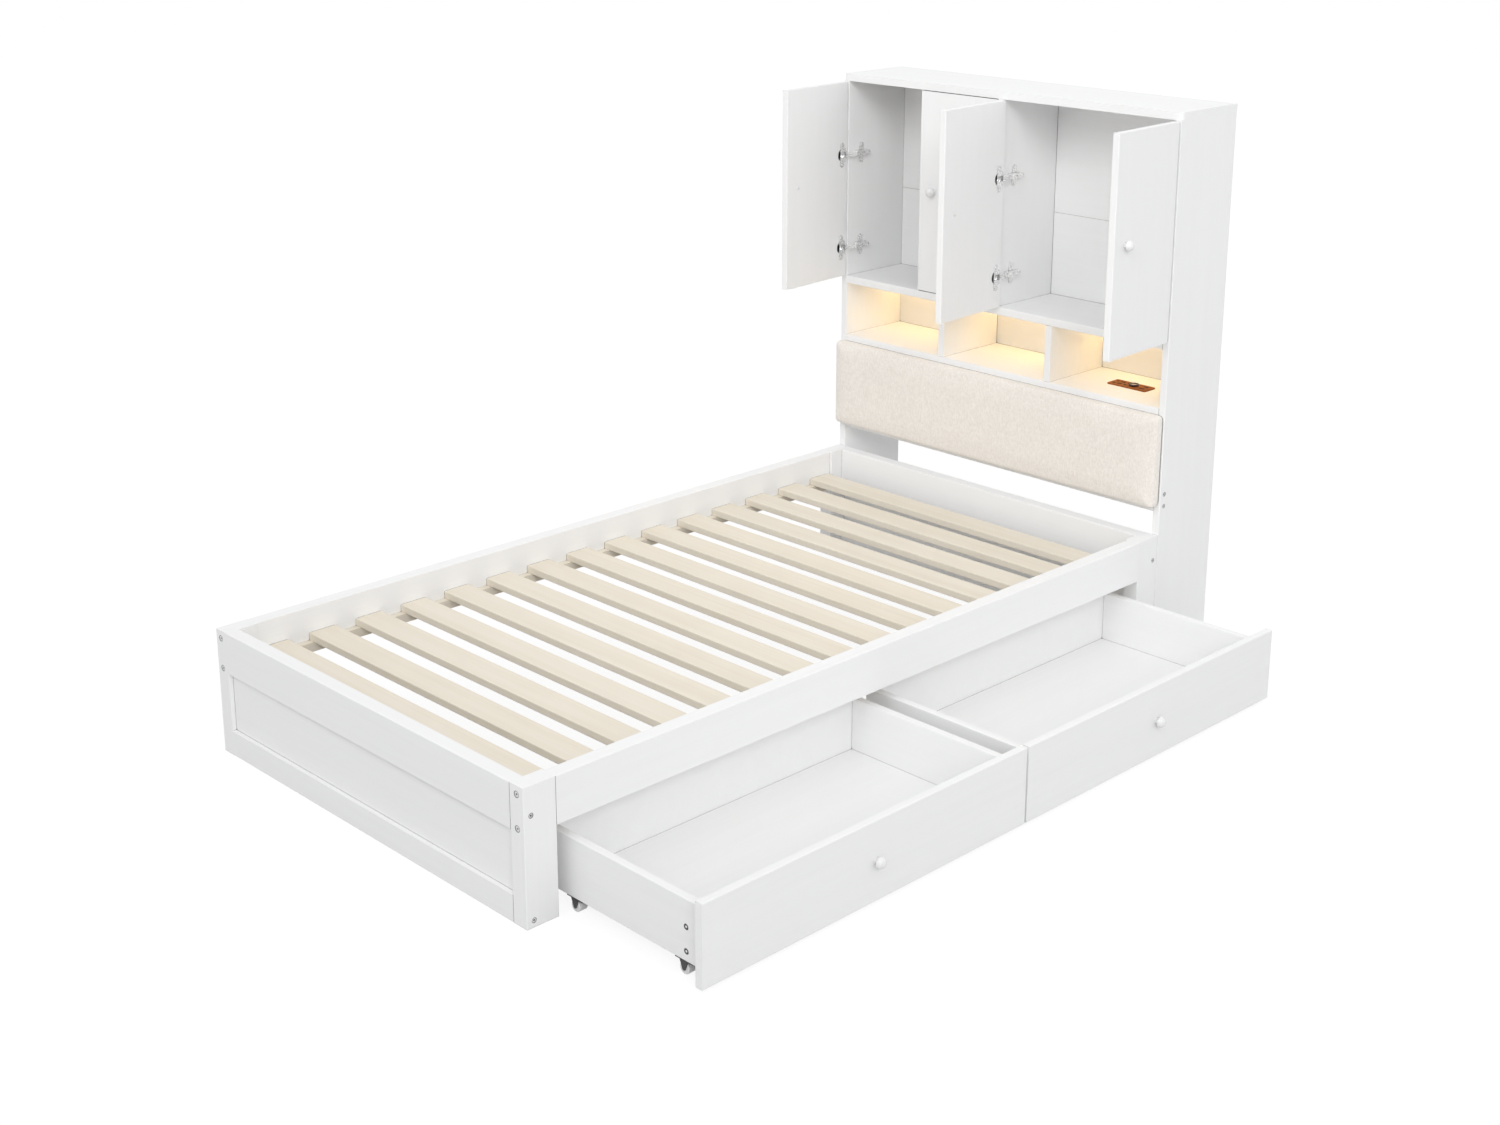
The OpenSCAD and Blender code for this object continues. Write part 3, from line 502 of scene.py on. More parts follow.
@dataclass(frozen=True)
class WarmLight:
    """Frosted cover of a light strip, lit from inside."""

    glow: Colour = (1.0, 0.66, 0.25)
    cover: Colour = (1.0, 0.86, 0.6)
    strength: float = 16.5
    dimmest: float = 0.85
    roughness: float = 0.5
    speckle_scale: float = 120.0

    def material(self) -> Material:
        """The finish as a material."""
        made, tree, shader, place = new_surface("warm_light")
        speckle = speckled(tree, place, self.speckle_scale)
        softer = tuple(self.dimmest * channel for channel in self.glow)
        tree.feed(shader, {
            "Base Color": (*self.cover, 1.0),
            "Roughness": self.roughness,
            "Emission Color": tree.blend(speckle, softer, self.glow),
            "Emission Strength": self.strength,
        })
        return made


class Palette:
    """Every finish of the bed as a material, made once."""

    def __init__(self) -> None:
        """Makes the materials."""
        self.paint = {run: PaintedBoard(run).material() for run in Run}
        self.slat = BareWood(
            "slat_wood", Run.ACROSS, light=(0.845, 0.790, 0.690), dark=(0.745, 0.675, 0.560)).material()
        self.ledger = BareWood(
            "ledger_wood", Run.ALONG, light=(0.830, 0.770, 0.670), dark=(0.730, 0.660, 0.550)).material()
        self.ply = BareWood(
            "raw_ply", Run.ACROSS, light=(0.62, 0.46, 0.30), dark=(0.50, 0.36, 0.22)).material()
        self.veneer = BareWood(
            "copper_veneer", Run.ACROSS, light=(0.47, 0.15, 0.030), dark=(0.15, 0.042, 0.008),
            board_scale=90.0, specular=0.15).material()
        self.linen = Linen().material()
        self.light = WarmLight().material()
        # The hinges' nickel gets painted shade where its parts meet
        self.nickel = Metal(
            "nickel", grey(0.90), grey(0.86), metallic=0.7, roughness=0.26, crease_shade=0.08).material()
        self.bolt = Metal("zinc", grey(0.80), grey(0.70), metallic=0.6, roughness=0.34).material()
        self.enamel = Metal(
            "black_enamel", light=(0.030, 0.030, 0.032), dark=(0.018, 0.018, 0.020),
            metallic=0.0, roughness=0.38).material()
        self.rim = Moulded("shadow_rim", grey(0.20), grey(0.15), roughness=0.5).material()
        # Near-black finish for painted shade in the hinge cups and the charger's port openings
        self.shade = Moulded("cup_shade", grey(0.010), grey(0.006), roughness=0.85).material()
        self.knob = Moulded("knob_gloss", grey(0.82), grey(0.80), roughness=0.24, coat=0.4).material()
        self.wheel = Moulded(
            "wheel_plastic", light=(0.78, 0.78, 0.79), dark=(0.72, 0.72, 0.73), roughness=0.42).material()
        self.socket = Moulded(
            "dark_socket", light=(0.022, 0.016, 0.026), dark=(0.014, 0.010, 0.017),
            roughness=0.3, coat=0.3).material()
        self.dial = Moulded(
            "dial_face", light=(0.300, 0.240, 0.290), dark=(0.220, 0.170, 0.220),
            roughness=0.22, coat=0.5).material()


def dress(material: Material, *nodes: str) -> None:
    """Gives solids of the frame a material.

    Args:
        material: the finish.
        nodes: names of the solids.
    """
    for name in nodes:
        solid = frame["nodes"][name]
        solid.data.materials.clear()
        solid.data.materials.append(material)


def solids_of(name: str) -> list[tuple[np.ndarray, np.ndarray]]:
    """Boxes of the separate solids that share one node.

    Args:
        name: the node's name.

    Returns:
        The lowest and the highest corner of each solid, in metres.
    """
    form = bmesh.new()
    form.from_mesh(frame["nodes"][name].data)
    bmesh.ops.remove_doubles(form, verts=form.verts, dist=SOLID_MERGE)
    left, boxes = set(form.verts), []
    while left:
        reached, part = [left.pop()], []
        while reached:
            corner = reached.pop()
            part.append(corner.co[:])
            near = {edge.other_vert(corner) for edge in corner.link_edges} & left
            left -= near
            reached += near
        boxes.append((np.min(part, axis=0), np.max(part, axis=0)))
    form.free()
    return sorted(boxes, key=lambda box: tuple(box[0]))


def placed(name: str, data: bpy.types.ID) -> Piece:
    """Adds an object to the scene, at the origin.

    Args:
        name: its name.
        data: its mesh, or a camera's or a lamp's settings.

    Returns:
        The object.
    """
    made = bpy.data.objects.new(name, data)
    bpy.context.scene.collection.objects.link(made)
    return made


def aimed(name: str, data: bpy.types.ID, place: Point, along: Iterable[float]) -> Piece:
    """Adds a camera or a lamp.

    Args:
        name: its name.
        data: the camera's or the lamp's settings.
        place: where it stands.
        along: the direction that it looks in.

    Returns:
        The object.
    """
    made = placed(name, data)
    made.location = place
    made.rotation_mode = "QUATERNION"
    made.rotation_quaternion = Vector(along).to_track_quat("-Z", "Y")
    return made


@contextmanager
def edited(piece: Piece) -> Iterator[bmesh.types.BMesh]:
    """Opens a piece's mesh, and writes it back with its faces turned outwards.

    Args:
        piece: the piece.

    Yields:
        Its mesh, open for changes.
    """
    form = bmesh.new()
    form.from_mesh(piece.data)
    yield form
    bmesh.ops.recalc_face_normals(form, faces=form.faces)
    form.to_mesh(piece.data)
    form.free()


def grid_mesh(name: str, points: np.ndarray, closed_u: bool, closed_v: bool) -> Piece:
    """Makes a surface from a grid of points.

    Args:
        name: the piece's name.
        points: array of shape (nu, nv, 3), in metres.
        closed_u: whether the last row joins the first.
        closed_v: whether the last column joins the first.

    Returns:
        The mesh object, with smooth faces.
    """
    nu, nv = points.shape[:2]
    rows = np.arange(nu if closed_u else nu - 1)
    columns = np.arange(nv if closed_v else nv - 1)
    i, j = (a.ravel() for a in np.meshgrid(rows, columns, indexing="ij"))
    i2, j2 = (i + 1) % nu, (j + 1) % nv
    faces = np.stack([i * nv + j, i2 * nv + j, i2 * nv + j2, i * nv + j2], axis=1)
    mesh = bpy.data.meshes.new(name)
    mesh.from_pydata(points.reshape(-1, 3).tolist(), [], faces.tolist())
    mesh.polygons.foreach_set("use_smooth", np.ones(len(mesh.polygons), bool))
    mesh.update()
    return placed(name, mesh)


def turned(
    name: str, profile: np.ndarray, centre: Point, axis: Point, around: int, ring: bool = False
) -> Piece:
    """Turns a profile about an axis, as on a lathe.

    Each point of the profile is a distance along the axis and a radius. A point of the
    surface is centre + along * axis + radius * (side * cos t + up * sin t).

    Args:
        name: the piece's name.
        profile: array of shape (n, 2) of distance and radius, in metres.
        centre: the point at distance 0.
        axis: the direction of the axis, of length 1.
        around: steps round the axis.
        ring: whether the last point of the profile joins the first.

    Returns:
        The turned piece.
    """
    along = np.array(axis, float)
    upright = round(abs(along[2])) == 1
    side = np.cross(along, (1.0, 0.0, 0.0) if upright else (0.0, 0.0, 1.0))
    side /= np.linalg.norm(side)
    up = np.cross(along, side)
    angle = np.linspace(0, 2 * np.pi, around, endpoint=False)
    spoke = np.cos(angle)[:, None] * side + np.sin(angle)[:, None] * up
    points = np.array(centre) + profile[:, 0, None, None] * along + profile[:, 1, None, None] * spoke
    piece = grid_mesh(name, points, ring, True)
    with edited(piece) as form:
        bmesh.ops.remove_doubles(form, verts=form.verts, dist=PIECE_MERGE)
    return piece


def rounded_outline(
    width: float, height: float, corner: float, inset: float, sides: tuple[int, int]
) -> np.ndarray:
    """Rounded rectangle, drawn in by an inset.

    Each corner is a quarter circle of the corner radius less the inset, and each side has
    evenly spaced points between two corners.

    Args:
        width: full width.
        height: full height.
        corner: radius of the corners before the inset.
        inset: distance that the outline is drawn in.
        sides: points along a wide side and along a high side.

    Returns:
        Array of shape (n, 2), counter-clockwise.
    """
    radius = max(corner - inset, LEAST_RADIUS)
    half = np.array([width / 2 - inset - radius, height / 2 - inset - radius])
    signs = np.array([[1, 1], [-1, 1], [-1, -1], [1, -1]])
    parts = []
    for quarter in range(4):
        turn = (quarter + np.linspace(0, 1, CORNER_STEPS)) * np.pi / 2
        arc = signs[quarter] * half + radius * np.stack([np.cos(turn), np.sin(turn)], axis=1)
        following = signs[(quarter + 1) % 4] * half + arc[-1] - signs[quarter] * half
        steps = np.linspace(0, 1, sides[quarter % 2], endpoint=False)[1:, None]
        parts += [arc, arc[-1] + steps * (following - arc[-1])]
    return np.concatenate(parts)


def rolled_edge(radius: float, top: float, steps: int) -> list[Pair]:
    """Inset and height of each step of a quarter circle that ends at a top, from the side up."""
    turn = np.linspace(0, np.pi / 2, steps)
    return [(radius * (1 - c), top - radius * (1 - s)) for c, s in zip(np.cos(turn), np.sin(turn))]


def tile(name: str, size: Point, centre: Point, corner: float, edge: float) -> Piece:
    """Flat tile with rounded corners and a rounded upper edge, lying on a level surface.

    The outline is carried from the bottom up, and a quarter circle draws it in at the top.

    Args:
        name: the piece's name.
        size: width along X, depth along Y and height.
        centre: the middle of its underside.
        corner: radius of the corners.
        edge: radius of the upper edge.

    Returns:
        The closed tile.
    """
    points = []
    for inset, up in [(0.0, 0.0)] + rolled_edge(edge, size[2], EDGE_STEPS):
        flat = rounded_outline(size[0], size[1], corner, inset, TILE_SIDES)
        points.append(np.column_stack([flat, np.full(len(flat), up)]) + np.array(centre))
    piece = grid_mesh(name, np.array(points), False, True)
    close_ends(piece, len(points[0]))
    return piece


def joined(name: str, pieces: list[Piece]) -> Piece:
    """Makes one piece of several that have one finish.

    Args:
        name: the new piece's name.
        pieces: the pieces, which are used up.

    Returns:
        The piece.
    """
    form = bmesh.new()
    for piece in pieces:
        form.from_mesh(piece.data)
        bpy.data.objects.remove(piece)
    mesh = bpy.data.meshes.new(name)
    form.to_mesh(mesh)
    form.free()
    return placed(name, mesh)


def close_ends(piece: Piece, around: int) -> None:
    """Closes the first and the last ring of a grid surface with flat faces, folded edge to edge.

    Args:
        piece: a surface made by grid_mesh, closed round its second parameter.
        around: points in each ring.
    """
    with edited(piece) as form:
        form.verts.ensure_lookup_table()
        for ring in (form.verts[:around][::-1], form.verts[-around:]):
            bmesh.ops.contextual_create(form, geom=list(ring))


def finish_piece(
    piece: Piece, body: str, slot: str, material: Material, *stands_for: str
) -> None:
    """Dresses a new piece and ties it to its body.

    Args:
        piece: the new piece.
        body: the body that it moves with.
        slot: the record's material slot; not used.
        material: its finish.
        stands_for: the solids that it replaces.
    """
    piece.data.materials.clear()
    piece.data.materials.append(material)
    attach(piece, body)
    if stands_for:
        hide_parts(*stands_for)
    LOG.info("piece %s on %s", piece.name, body)


@dataclass(frozen=True)
class DoorHinge:
    """Where one door's hinge cups lie when the door stands as built.

    The door reaches towards +X from its panel where side is 1, and towards -X where it is -1.
    It turns about a vertical axis, the pivot, which is given as a distance from the panel and
    one behind the front. So a point of the closed door is carried round that axis by the
    opening angle, in degrees.
    """

    panel: float
    side: int
    pivot: Pair
    opening: float
    cup_from_panel: float = 0.024
    door_thickness: float = 0.018
    front: float = 1.963

    def carried(self, along: float, deep: float) -> Pair:
        """Place of a point of the closed door once the door is open.

        Args:
            along: distance from the panel towards the door's free edge.
            deep: distance behind the bookcase's front.

        Returns:
            X and Y.
        """
        angle = np.radians(self.opening)
        x, y = along - self.pivot[0], deep - self.pivot[1]
        turned_x = self.pivot[0] + x * np.cos(angle) + y * np.sin(angle)
        turned_y = self.pivot[1] + y * np.cos(angle) - x * np.sin(angle)
        return self.panel + self.side * turned_x, self.front + turned_y

    def way(self, along: float, deep: float) -> np.ndarray:
        """Direction, once the door is open, of what points along and deep in the closed door."""
        start, end = np.array([self.carried(0.0, 0.0), self.carried(along, deep)])
        return np.append(end - start, 0.0)


DOOR_HINGES = {
    1: DoorHinge(panel=-0.521, side=1, pivot=(-0.012, 0.006), opening=85.0),
    2: DoorHinge(panel=-0.0095, side=-1, pivot=(-0.00475, 0.004), opening=0.0),
    3: DoorHinge(panel=0.0095, side=1, pivot=(-0.00475, 0.004), opening=86.0),
    4: DoorHinge(panel=0.521, side=-1, pivot=(-0.012, 0.006), opening=93.0),
}
HINGE_HEIGHTS = (0.862, 1.116)


@dataclass
class SlattedBase:
    """Posts, rails, panels, ledgers and slats, which are the frame's own solids."""

    palette: Palette
    socket_radius: float = 0.0022
    socket_deep: float = 0.0012
    socket_face: float = 0.0003
    rim_gap: float = 0.0002
    rim_width: float = 0.0010
    rim_up: float = 0.0007
    socket_sides: int = 6
    rim_steps: int = 32

    def build(self) -> None:
        """Dresses the base."""
        paint = self.palette.paint
        posts = [f"{end}_post_{side}" for end in ("foot", "head") for side in ("left", "right")]
        rails = [f"{end}_{place}_rail" for end in ("foot", "head") for place in ("top", "bottom")]
        dress(paint[Run.UP], *posts)
        dress(paint[Run.ACROSS], *rails, "end_panels")
        dress(paint[Run.ALONG], "side_rail_left", "side_rail_right")
        dress(self.palette.ledger, "ledgers")
        dress(self.palette.slat, "slats")
        dress(self.palette.bolt, "frame_bolts")
        self._paint_bolt_shade()

    def _paint_bolt_shade(self) -> None:
        """Paints shade on each bolt: a dark hex floor stands for the shade in its socket, and a grey rim
        for the shadow in the gap round its sunk head.

        A bolt's longest side is its axis, and its head is at the end that faces away from
        the middle of the bed. Its shortest side is the head's diameter.
        """
        low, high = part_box("frame_bolts")
        middle = (np.array(low) + np.array(high)) / 2
        shade_floors, rims = [], []
        for number, (near, far) in enumerate(solids_of("frame_bolts")):
            size = far - near
            along = int(np.argmax(size))
            centre = (near + far) / 2
            out = np.zeros(3)
            out[along] = np.sign(centre[along] - middle[along])
            centre[along] = far[along] if out[along] > 0 else near[along]
            head = float(np.min(size)) / 2
            floor = np.array([[-self.socket_deep, 0.0], [-self.socket_deep, self.socket_radius],
                              [-self.socket_face, self.socket_radius], [-self.socket_face, 0.0]])
            shade_floors.append(turned(f"socket_{number}", floor, centre, out, self.socket_sides))
            inner, outer = head + self.rim_gap, head + self.rim_gap + self.rim_width
            rim = np.array([[0.0, inner], [0.0, outer], [self.rim_up, outer], [self.rim_up, inner]])
            rims.append(turned(f"rim_{number}", rim, centre, out, self.rim_steps, True))
        # Painted shade: dark socket floors and grey rims round the bolt heads
        finish_piece(joined("bolt_socket_shade", shade_floors), "bed", "plated_steel", self.palette.enamel)
        finish_piece(joined("bolt_rim_shade", rims), "bed", "plated_steel", self.palette.rim)


@dataclass
class Bookcase:
    """Boards, lights and charging plate of the headboard's bookcase."""

    palette: Palette

    def build(self) -> None:
        """Dresses the bookcase."""
        paint = self.palette.paint
        upright = ("bookcase_side_left", "bookcase_side_right", "cabinet_divider", "cubby_dividers")
        level = ("bookcase_top", "cabinet_shelf", "cubby_floor", "pad_cross_rail", "back_panels")
        dress(paint[Run.UP], *upright)
        dress(paint[Run.ACROSS], *level)
        dress(self.palette.ply, "pad_board")
        dress(self.palette.light, "light_strips")
        dress(self.palette.veneer, "charging_plate")


@dataclass
class ChargingPlate:
    """Round dial, and dark slots of painted shade that stand for the port openings, on the charging plate
    in the right cubby.
    """

    palette: Palette
    dial_off: float = 0.009
    dial_radius: float = 0.0132
    dial_rim: float = 0.0034
    dial_up: float = 0.0052
    face_up: float = 0.0030
    rim_overlap: float = 0.2
    face_flat: float = 0.5
    crest_steps: int = 13
    dial_steps: int = 64
    sink: float = 0.001
    slots: tuple[Pair, ...] = (
        (-0.046, 0.008), (-0.030, 0.013), (-0.012, 0.007), (0.039, 0.014))
    slot_apart: float = 0.009
    slot_high: float = 0.0055

    def build(self) -> None:
        """Makes the dial's ring, its face and the slots, each pair at an offset and with a width."""
        low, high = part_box("charging_plate")
        x, y, top = (low.x + high.x) / 2, (low.y + high.y) / 2, high.z
        centre, up = (x + self.dial_off, y, top), (0.0, 0.0, 1.0)
        turn = np.linspace(0, np.pi, self.crest_steps)
        half = self.dial_rim / 2
        crest = np.column_stack([self.dial_up - half + half * np.sin(turn),
                                 self.dial_radius - half + half * np.cos(turn)])
        foot = np.array([[-self.sink, self.dial_radius - self.dial_rim], [-self.sink, self.dial_radius]])
        ring = turned("dial_ring", np.concatenate([foot, crest]), centre, up, self.dial_steps, True)
        finish_piece(ring, "bed", "charger_plastic", self.palette.socket)
        inner = self.dial_radius - (1 - self.rim_overlap) * self.dial_rim
        profile = np.array([[-self.sink, 0.0], [-self.sink, inner], [self.face_up, inner],
                            [self.face_up + self.sink, self.face_flat * inner],
                            [self.face_up + self.sink, 0.0]])
        face = turned("dial_face", profile, centre, up, self.dial_steps)
        finish_piece(face, "bed", "charger_plastic", self.palette.dial)
        slots = []
        for number, (off, wide) in enumerate(self.slots):
            for side in (-1, 1):
                place = (x + off, y + side * self.slot_apart, top - self.sink / 2)
                size = (wide, self.slot_high, self.sink)
                slots.append(tile(f"slot_{number}_{side}", size, place, self.sink, self.sink / 4))
        # Painted shade: near-black tiles stand for the dark port openings
        finish_piece(joined("charger_slots", slots), "bed", "charger_plastic", self.palette.shade)


@dataclass
class ClothSkin:
    """Cloth skin that swells under a slight pressure, with its back held to a board."""

    voxel: float = 0.006
    held_depth: float = 0.006
    pressure: float = 4.0
    frames: int = 20
    limit: float = 0.002
    least_way: float = 1e-9

    @staticmethod
    def _points(piece: Piece) -> np.ndarray:
        """The points of a piece's mesh.

        Args:
            piece: the piece.

        Returns:
            Array of shape (n, 3).
        """
        flat = np.zeros(len(piece.data.vertices) * 3)
        piece.data.vertices.foreach_get("co", flat)
        return flat.reshape(-1, 3)

    @staticmethod
    def _apply(piece: Piece) -> None:
        """Makes what a piece's modifiers show its own mesh, and removes them.

        Args:
            piece: the piece.
        """
        solved = piece.evaluated_get(bpy.context.evaluated_depsgraph_get())
        mesh = bpy.data.meshes.new_from_object(solved)
        piece.modifiers.clear()
        piece.data = mesh

    def swell(self, piece: Piece, low: Vector, high: Vector) -> None:
        """Simulates the skin, and leaves the result in the piece's mesh.

        A simulated way of length d becomes limit * tanh(d / limit), so no point moves further
        than the limit, and every point stays in the box.

        Args:
            piece: the closed pad, a little smaller than its space, with its back at the highest Y.
            low: lowest corner of the space.
            high: highest corner of the space.
        """
        scene = bpy.context.scene
        squares = piece.modifiers.new("squares", "REMESH")
        squares.mode = "VOXEL"
        squares.voxel_size = self.voxel
        self._apply(piece)
        start = self._points(piece)
        back = np.flatnonzero(start[:, 1] > high.y - self.held_depth)
        held = piece.vertex_groups.new(name="held")
        held.add(back.tolist(), 1.0, "ADD")
        skin = piece.modifiers.new("skin", "CLOTH")
        skin.settings.vertex_group_mass = held.name
        skin.settings.use_pressure = True
        skin.settings.uniform_pressure_force = self.pressure
        skin.settings.effector_weights.gravity = 0.0
        skin.point_cache.frame_end = self.frames
        for frame in range(1, self.frames + 1):
            scene.frame_set(frame)
        self._apply(piece)
        way = self._points(piece) - start
        length = np.maximum(np.linalg.norm(way, axis=1, keepdims=True), self.least_way)
        kept = start + way / length * self.limit * np.tanh(length / self.limit)
        kept = np.clip(kept, np.array(low), np.array(high))
        piece.data.vertices.foreach_set("co", kept.ravel())
        piece.data.polygons.foreach_set("use_smooth", np.ones(len(piece.data.polygons), bool))
        piece.vertex_groups.clear()
        scene.frame_set(1)
        moved = MILLIMETRES * np.linalg.norm(kept - start, axis=1)
        LOG.info("skin of %d points moved %.2f mm at most, %.2f mm on average",
                 len(kept), moved.max(), moved.mean())


@dataclass
class HeadboardPad:
    """The linen pad: a rounded box with a crowned front whose edges roll over."""

    palette: Palette
    corner: float = 0.015
    roll: float = 0.012
    crown: float = 0.003
    draw: float = 0.003
    roll_steps: int = 10
    crown_steps: int = 24
    outline_points: tuple[int, int] = (110, 24)
    smaller: float = 0.0012

    def _rings(self, depth: float, height: float) -> list[Pair]:
        """Inset and depth of each turn of the outline, from the back to the middle of the front.

        The side is drawn in at the back, a quarter circle rounds the front edge, and a cubic
        crowns the front.

        Args:
            depth: the pad's full depth.
            height: the pad's height.

        Returns:
            Pairs of inset and depth in front of the back.
        """
        edge = depth - self.crown
        last = height / 2 - self.corner
        rings = [(self.draw, 0.0), (self.draw / 3, (edge - self.roll) / 2)]
        rings += rolled_edge(self.roll, edge, self.roll_steps)
        rings += [(self.roll + t * (last - self.roll), edge + self.crown * (1 - (1 - t) ** 3))
                  for t in np.linspace(0, 1, self.crown_steps)[1:]]
        return rings

    def build(self) -> None:
        """Makes the pad in the space of its solid."""
        low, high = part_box("headboard_pad")
        less = self.smaller
        width, depth, height = np.array(high - low) - np.array([2, 1, 2]) * less
        middle = np.array([(low.x + high.x) / 2, 0.0, (low.z + high.z) / 2])
        points = []
        for inset, out in self._rings(depth, height):
            flat = rounded_outline(width, height, self.corner, inset, self.outline_points)
            ring = np.stack([flat[:, 0], np.full(len(flat), high.y - out), flat[:, 1]], axis=1)
            points.append(ring + middle)
        piece = grid_mesh("linen_pad", np.array(points), False, True)
        close_ends(piece, len(points[0]))
        ClothSkin().swell(piece, low, high)
        finer = piece.modifiers.new("finer", "SUBSURF")
        finer.levels = finer.render_levels = 1
        finish_piece(piece, "bed", "linen", self.palette.linen, "headboard_pad")


@dataclass
class DoorSet:
    """The four cabinet doors with their knobs and hinges, and painted shade in the hinge cups."""

    palette: Palette
    shade_radius: float = 0.0160
    shade_from: float = -0.007
    shade_deep: float = 0.0107
    shade_face: float = 0.0102
    shade_steps: int = 36

    def _shade_cups(self, number: int) -> None:
        """Lays a dark floor of painted shade in the far part of each hinge cup of one door, where the
        hollow is in shadow.

        Its outline is an arc that a chord cuts off. The chord lies beside the cup's middle, on
        the side of the door's hinged edge.

        Args:
            number: the door's number from the left.
        """
        hinge = DOOR_HINGES[number]
        half_turn = np.arccos(self.shade_from / self.shade_radius)
        turn = np.linspace(-half_turn, half_turn, self.shade_steps)[:, None]
        outward, inward, up = hinge.way(1.0, 0.0), hinge.way(0.0, 1.0), np.array([0.0, 0.0, 1.0])
        arc = self.shade_radius * (np.cos(turn) * outward + np.sin(turn) * up)
        mouth = hinge.carried(hinge.cup_from_panel, hinge.door_thickness)
        shade_floors = []
        for order, height in enumerate(HINGE_HEIGHTS):
            centre = np.array([*mouth, height])
            rings = [centre + arc - depth * inward for depth in (self.shade_deep, self.shade_face)]
            floor = grid_mesh(f"shade_{number}_{order}", np.array(rings), False, True)
            close_ends(floor, len(turn))
            shade_floors.append(floor)
        # Painted shade in the far part of each hinge cup
        shade = joined(f"door_{number}_cup_shade", shade_floors)
        finish_piece(shade, f"door_{number}", "plated_steel", self.palette.shade)

    def build(self) -> None:
        """Dresses the doors and their hinges."""
        for number in DOOR_HINGES:
            dress(self.palette.paint[Run.UP], f"door_{number}")
            dress(self.palette.knob, f"door_{number}_knob")
            dress(self.palette.nickel, f"door_{number}_hinge_cups", f"door_{number}_hinge_links")
            self._shade_cups(number)
        dress(self.palette.nickel, "hinge_arms")


@dataclass
class Drawer:
    """One rolling drawer."""

    palette: Palette
    number: int
    cam_radius: float = 0.006
    cam_face: float = 0.0024
    cam_proud: float = 0.0004
    cam_rim: float = 0.0011
    cam_flat: float = 0.8
    cam_cross: float = 0.3
    cam_steps: int = 24
    rim_steps: int = 32
    shortest_cam: float = 0.04

    def _mark_cams(self) -> None:
        """Gives each round connector a light, dished middle and a light rim on the board.

        A connector is the only solid of its node that is long along X, and its round part is
        at the low end.
        """
        name = f"drawer_{self.number}"
        low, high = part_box(name + "_box")
        middle = (low.y + high.y) / 2
        faces, rims = [], []
        for number, (near, far) in enumerate(solids_of(name + "_connectors")):
            if far[0] - near[0] < self.shortest_cam:
                continue
            way = np.sign((near[1] + far[1]) / 2 - middle)
            centre = (near[0] + self.cam_radius, high.y if way > 0 else low.y, (near[2] + far[2]) / 2)
            out = (0.0, way, 0.0)
            face = np.array([[-self.cam_proud, 0.0], [-self.cam_proud, self.cam_face],
                             [self.cam_proud / 2, self.cam_face],
                             [self.cam_proud, self.cam_flat * self.cam_face],
                             [self.cam_proud, self.cam_cross * self.cam_face], [0.0, 0.0]])
            faces.append(turned(f"cam_{number}", face, centre, out, self.cam_steps))
            outer = self.cam_radius + self.cam_rim
            rim = np.array([[0.0, self.cam_radius], [0.0, outer], [self.cam_proud, outer - self.cam_proud],
                            [self.cam_proud, self.cam_radius]])
            rims.append(turned(f"cam_rim_{number}", rim, centre, out, self.rim_steps, True))
        finish_piece(joined(name + "_cam_faces", faces), name, "plated_steel", self.palette.bolt)
        finish_piece(joined(name + "_cam_rims", rims), name, "white_paint", self.palette.knob)

    def build(self) -> None:
        """Dresses the drawer and its casters."""
        name = f"drawer_{self.number}"
        paint = self.palette.paint
        dress(paint[Run.ALONG], name + "_front", name + "_bottom")
        dress(paint[Run.ACROSS], name + "_box")
        dress(self.palette.knob, name + "_knob")
        dress(self.palette.enamel, name + "_connectors", name + "_casters")
        dress(self.palette.wheel, name + "_front_wheels", name + "_rear_wheels")
        self._mark_cams()


@dataclass(frozen=True)
class Lamp:
    """A soft square lamp that the camera doesn't see, with its beam's full angle in degrees."""

    name: str
    place: Point
    aim: Point
    size: float
    watts: float
    beam: float

    def hang(self) -> None:
        """Hangs the lamp in the scene."""
        data = bpy.data.lights.new(self.name, "AREA")
        data.energy = self.watts
        data.size = self.size
        data.spread = np.radians(self.beam)
        lamp = aimed(self.name, data, self.place, Vector(self.aim) - Vector(self.place))
        lamp.visible_camera = False


LAMPS = (
    Lamp("key", place=(12.6, -6.9, 9.2), aim=(0.0, 1.0, 0.6), size=6.0, watts=655.0, beam=180.0),
    Lamp("fill", place=(1.3, -1.6, 3.4), aim=(0.0, 1.95, 0.95), size=2.0, watts=6.0, beam=60.0),
)


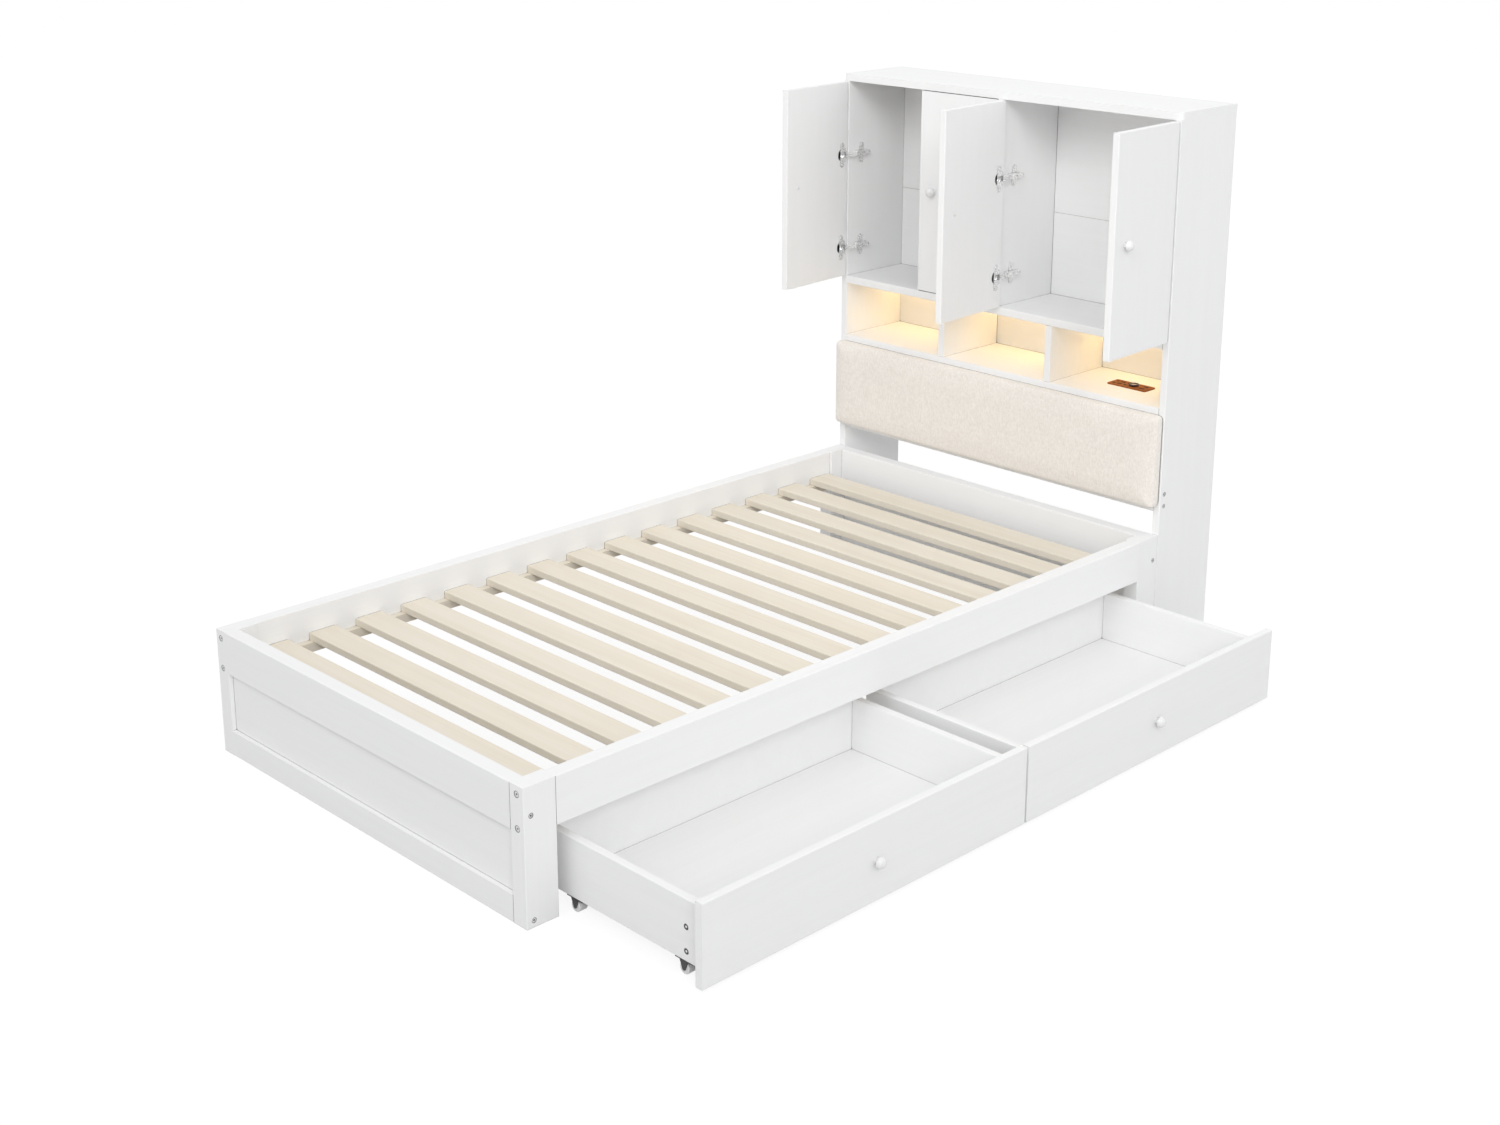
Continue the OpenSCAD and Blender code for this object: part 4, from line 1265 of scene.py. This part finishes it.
@dataclass
class Studio:
    """Floor, lights, world and camera."""

    camera_at: Point = (3.2804, -2.1008, 1.9904)
    looks_along: Point = (-0.6900, 0.6690, -0.2765)
    lens: float = 49.44
    shift: Pair = (0.0011, -0.1011)
    sight: float = 60.0
    ambient: float = 0.85
    floor_reach: float = 14.0
    floor_tone: float = 0.58
    floor_roughness: float = 0.9
    floor_specular: float = 0.1
    floor_white: float = 1.18
    floor_share: float = 0.75

    def _camera(self) -> None:
        """Places the camera at the photograph's viewing angle."""
        data = bpy.data.cameras.new("camera")
        data.lens = self.lens
        data.shift_x, data.shift_y = self.shift
        data.clip_end = self.sight
        bpy.context.scene.camera = aimed("camera", data, self.camera_at, self.looks_along)

    def _seen(self, tree: Tree) -> Socket:
        """1 for the rays that show the background: camera, glossy and transmission.

        Args:
            tree: the node tree that asks.

        Returns:
            The mask's socket.
        """
        path = tree.add("LightPath").outputs
        first = tree.math("MAXIMUM", path["Is Camera Ray"], path["Is Glossy Ray"])
        return tree.math("MAXIMUM", first, path["Is Transmission Ray"])

    def _world(self) -> None:
        """Sets an even white world, at full white only where it is seen."""
        world = bpy.data.worlds.new("studio")
        world.use_nodes = True
        tree = Tree(world.node_tree)
        strength = tree.spread(self._seen(tree), self.ambient, 1.0)
        tree.feed(tree.tree.nodes["Background"], {"Color": WHITE, "Strength": strength})
        bpy.context.scene.world = world

    def _floor(self) -> None:
        """Lays a pale floor that keeps a soft shadow of the bed."""
        near, far = -self.floor_reach, self.floor_reach
        corners = np.array([[[far, near, 0], [far, far, 0]], [[near, near, 0], [near, far, 0]]], float)
        floor = grid_mesh("floor", corners, False, False)
        material, tree, shader, _ = new_surface("pale_floor")
        tree.feed(shader, {"Base Color": (*grey(self.floor_tone), 1.0), "Roughness": self.floor_roughness,
                           "Specular IOR Level": self.floor_specular})
        white = tree.add("Emission", {"Color": WHITE, "Strength": self.floor_white})
        share = tree.math("MULTIPLY", self._seen(tree), self.floor_share)
        mixed = tree.add("MixShader", {0: share, 1: shader.outputs[0], 2: white.outputs[0]})
        output = next(n for n in tree.tree.nodes if n.type == "OUTPUT_MATERIAL")
        tree.feed(output, {"Surface": mixed.outputs[0]})
        floor.data.materials.append(material)

    def build(self) -> None:
        """Sets up the studio."""
        bpy.context.scene.view_settings.view_transform = "Standard"
        self._camera()
        self._world()
        self._floor()
        for lamp in LAMPS:
            lamp.hang()


def main() -> None:
    """Builds and dresses the bed."""
    logging.basicConfig(level=logging.INFO, format="%(message)s")
    palette = Palette()
    drawers = [Drawer(palette, number) for number in DRAWERS]
    for assembly in (Studio(), SlattedBase(palette), Bookcase(palette), ChargingPlate(palette),
                     HeadboardPad(palette), DoorSet(palette), *drawers):
        assembly.build()
        LOG.info("%s built", type(assembly).__name__)


if __name__ == "__main__":
    main()
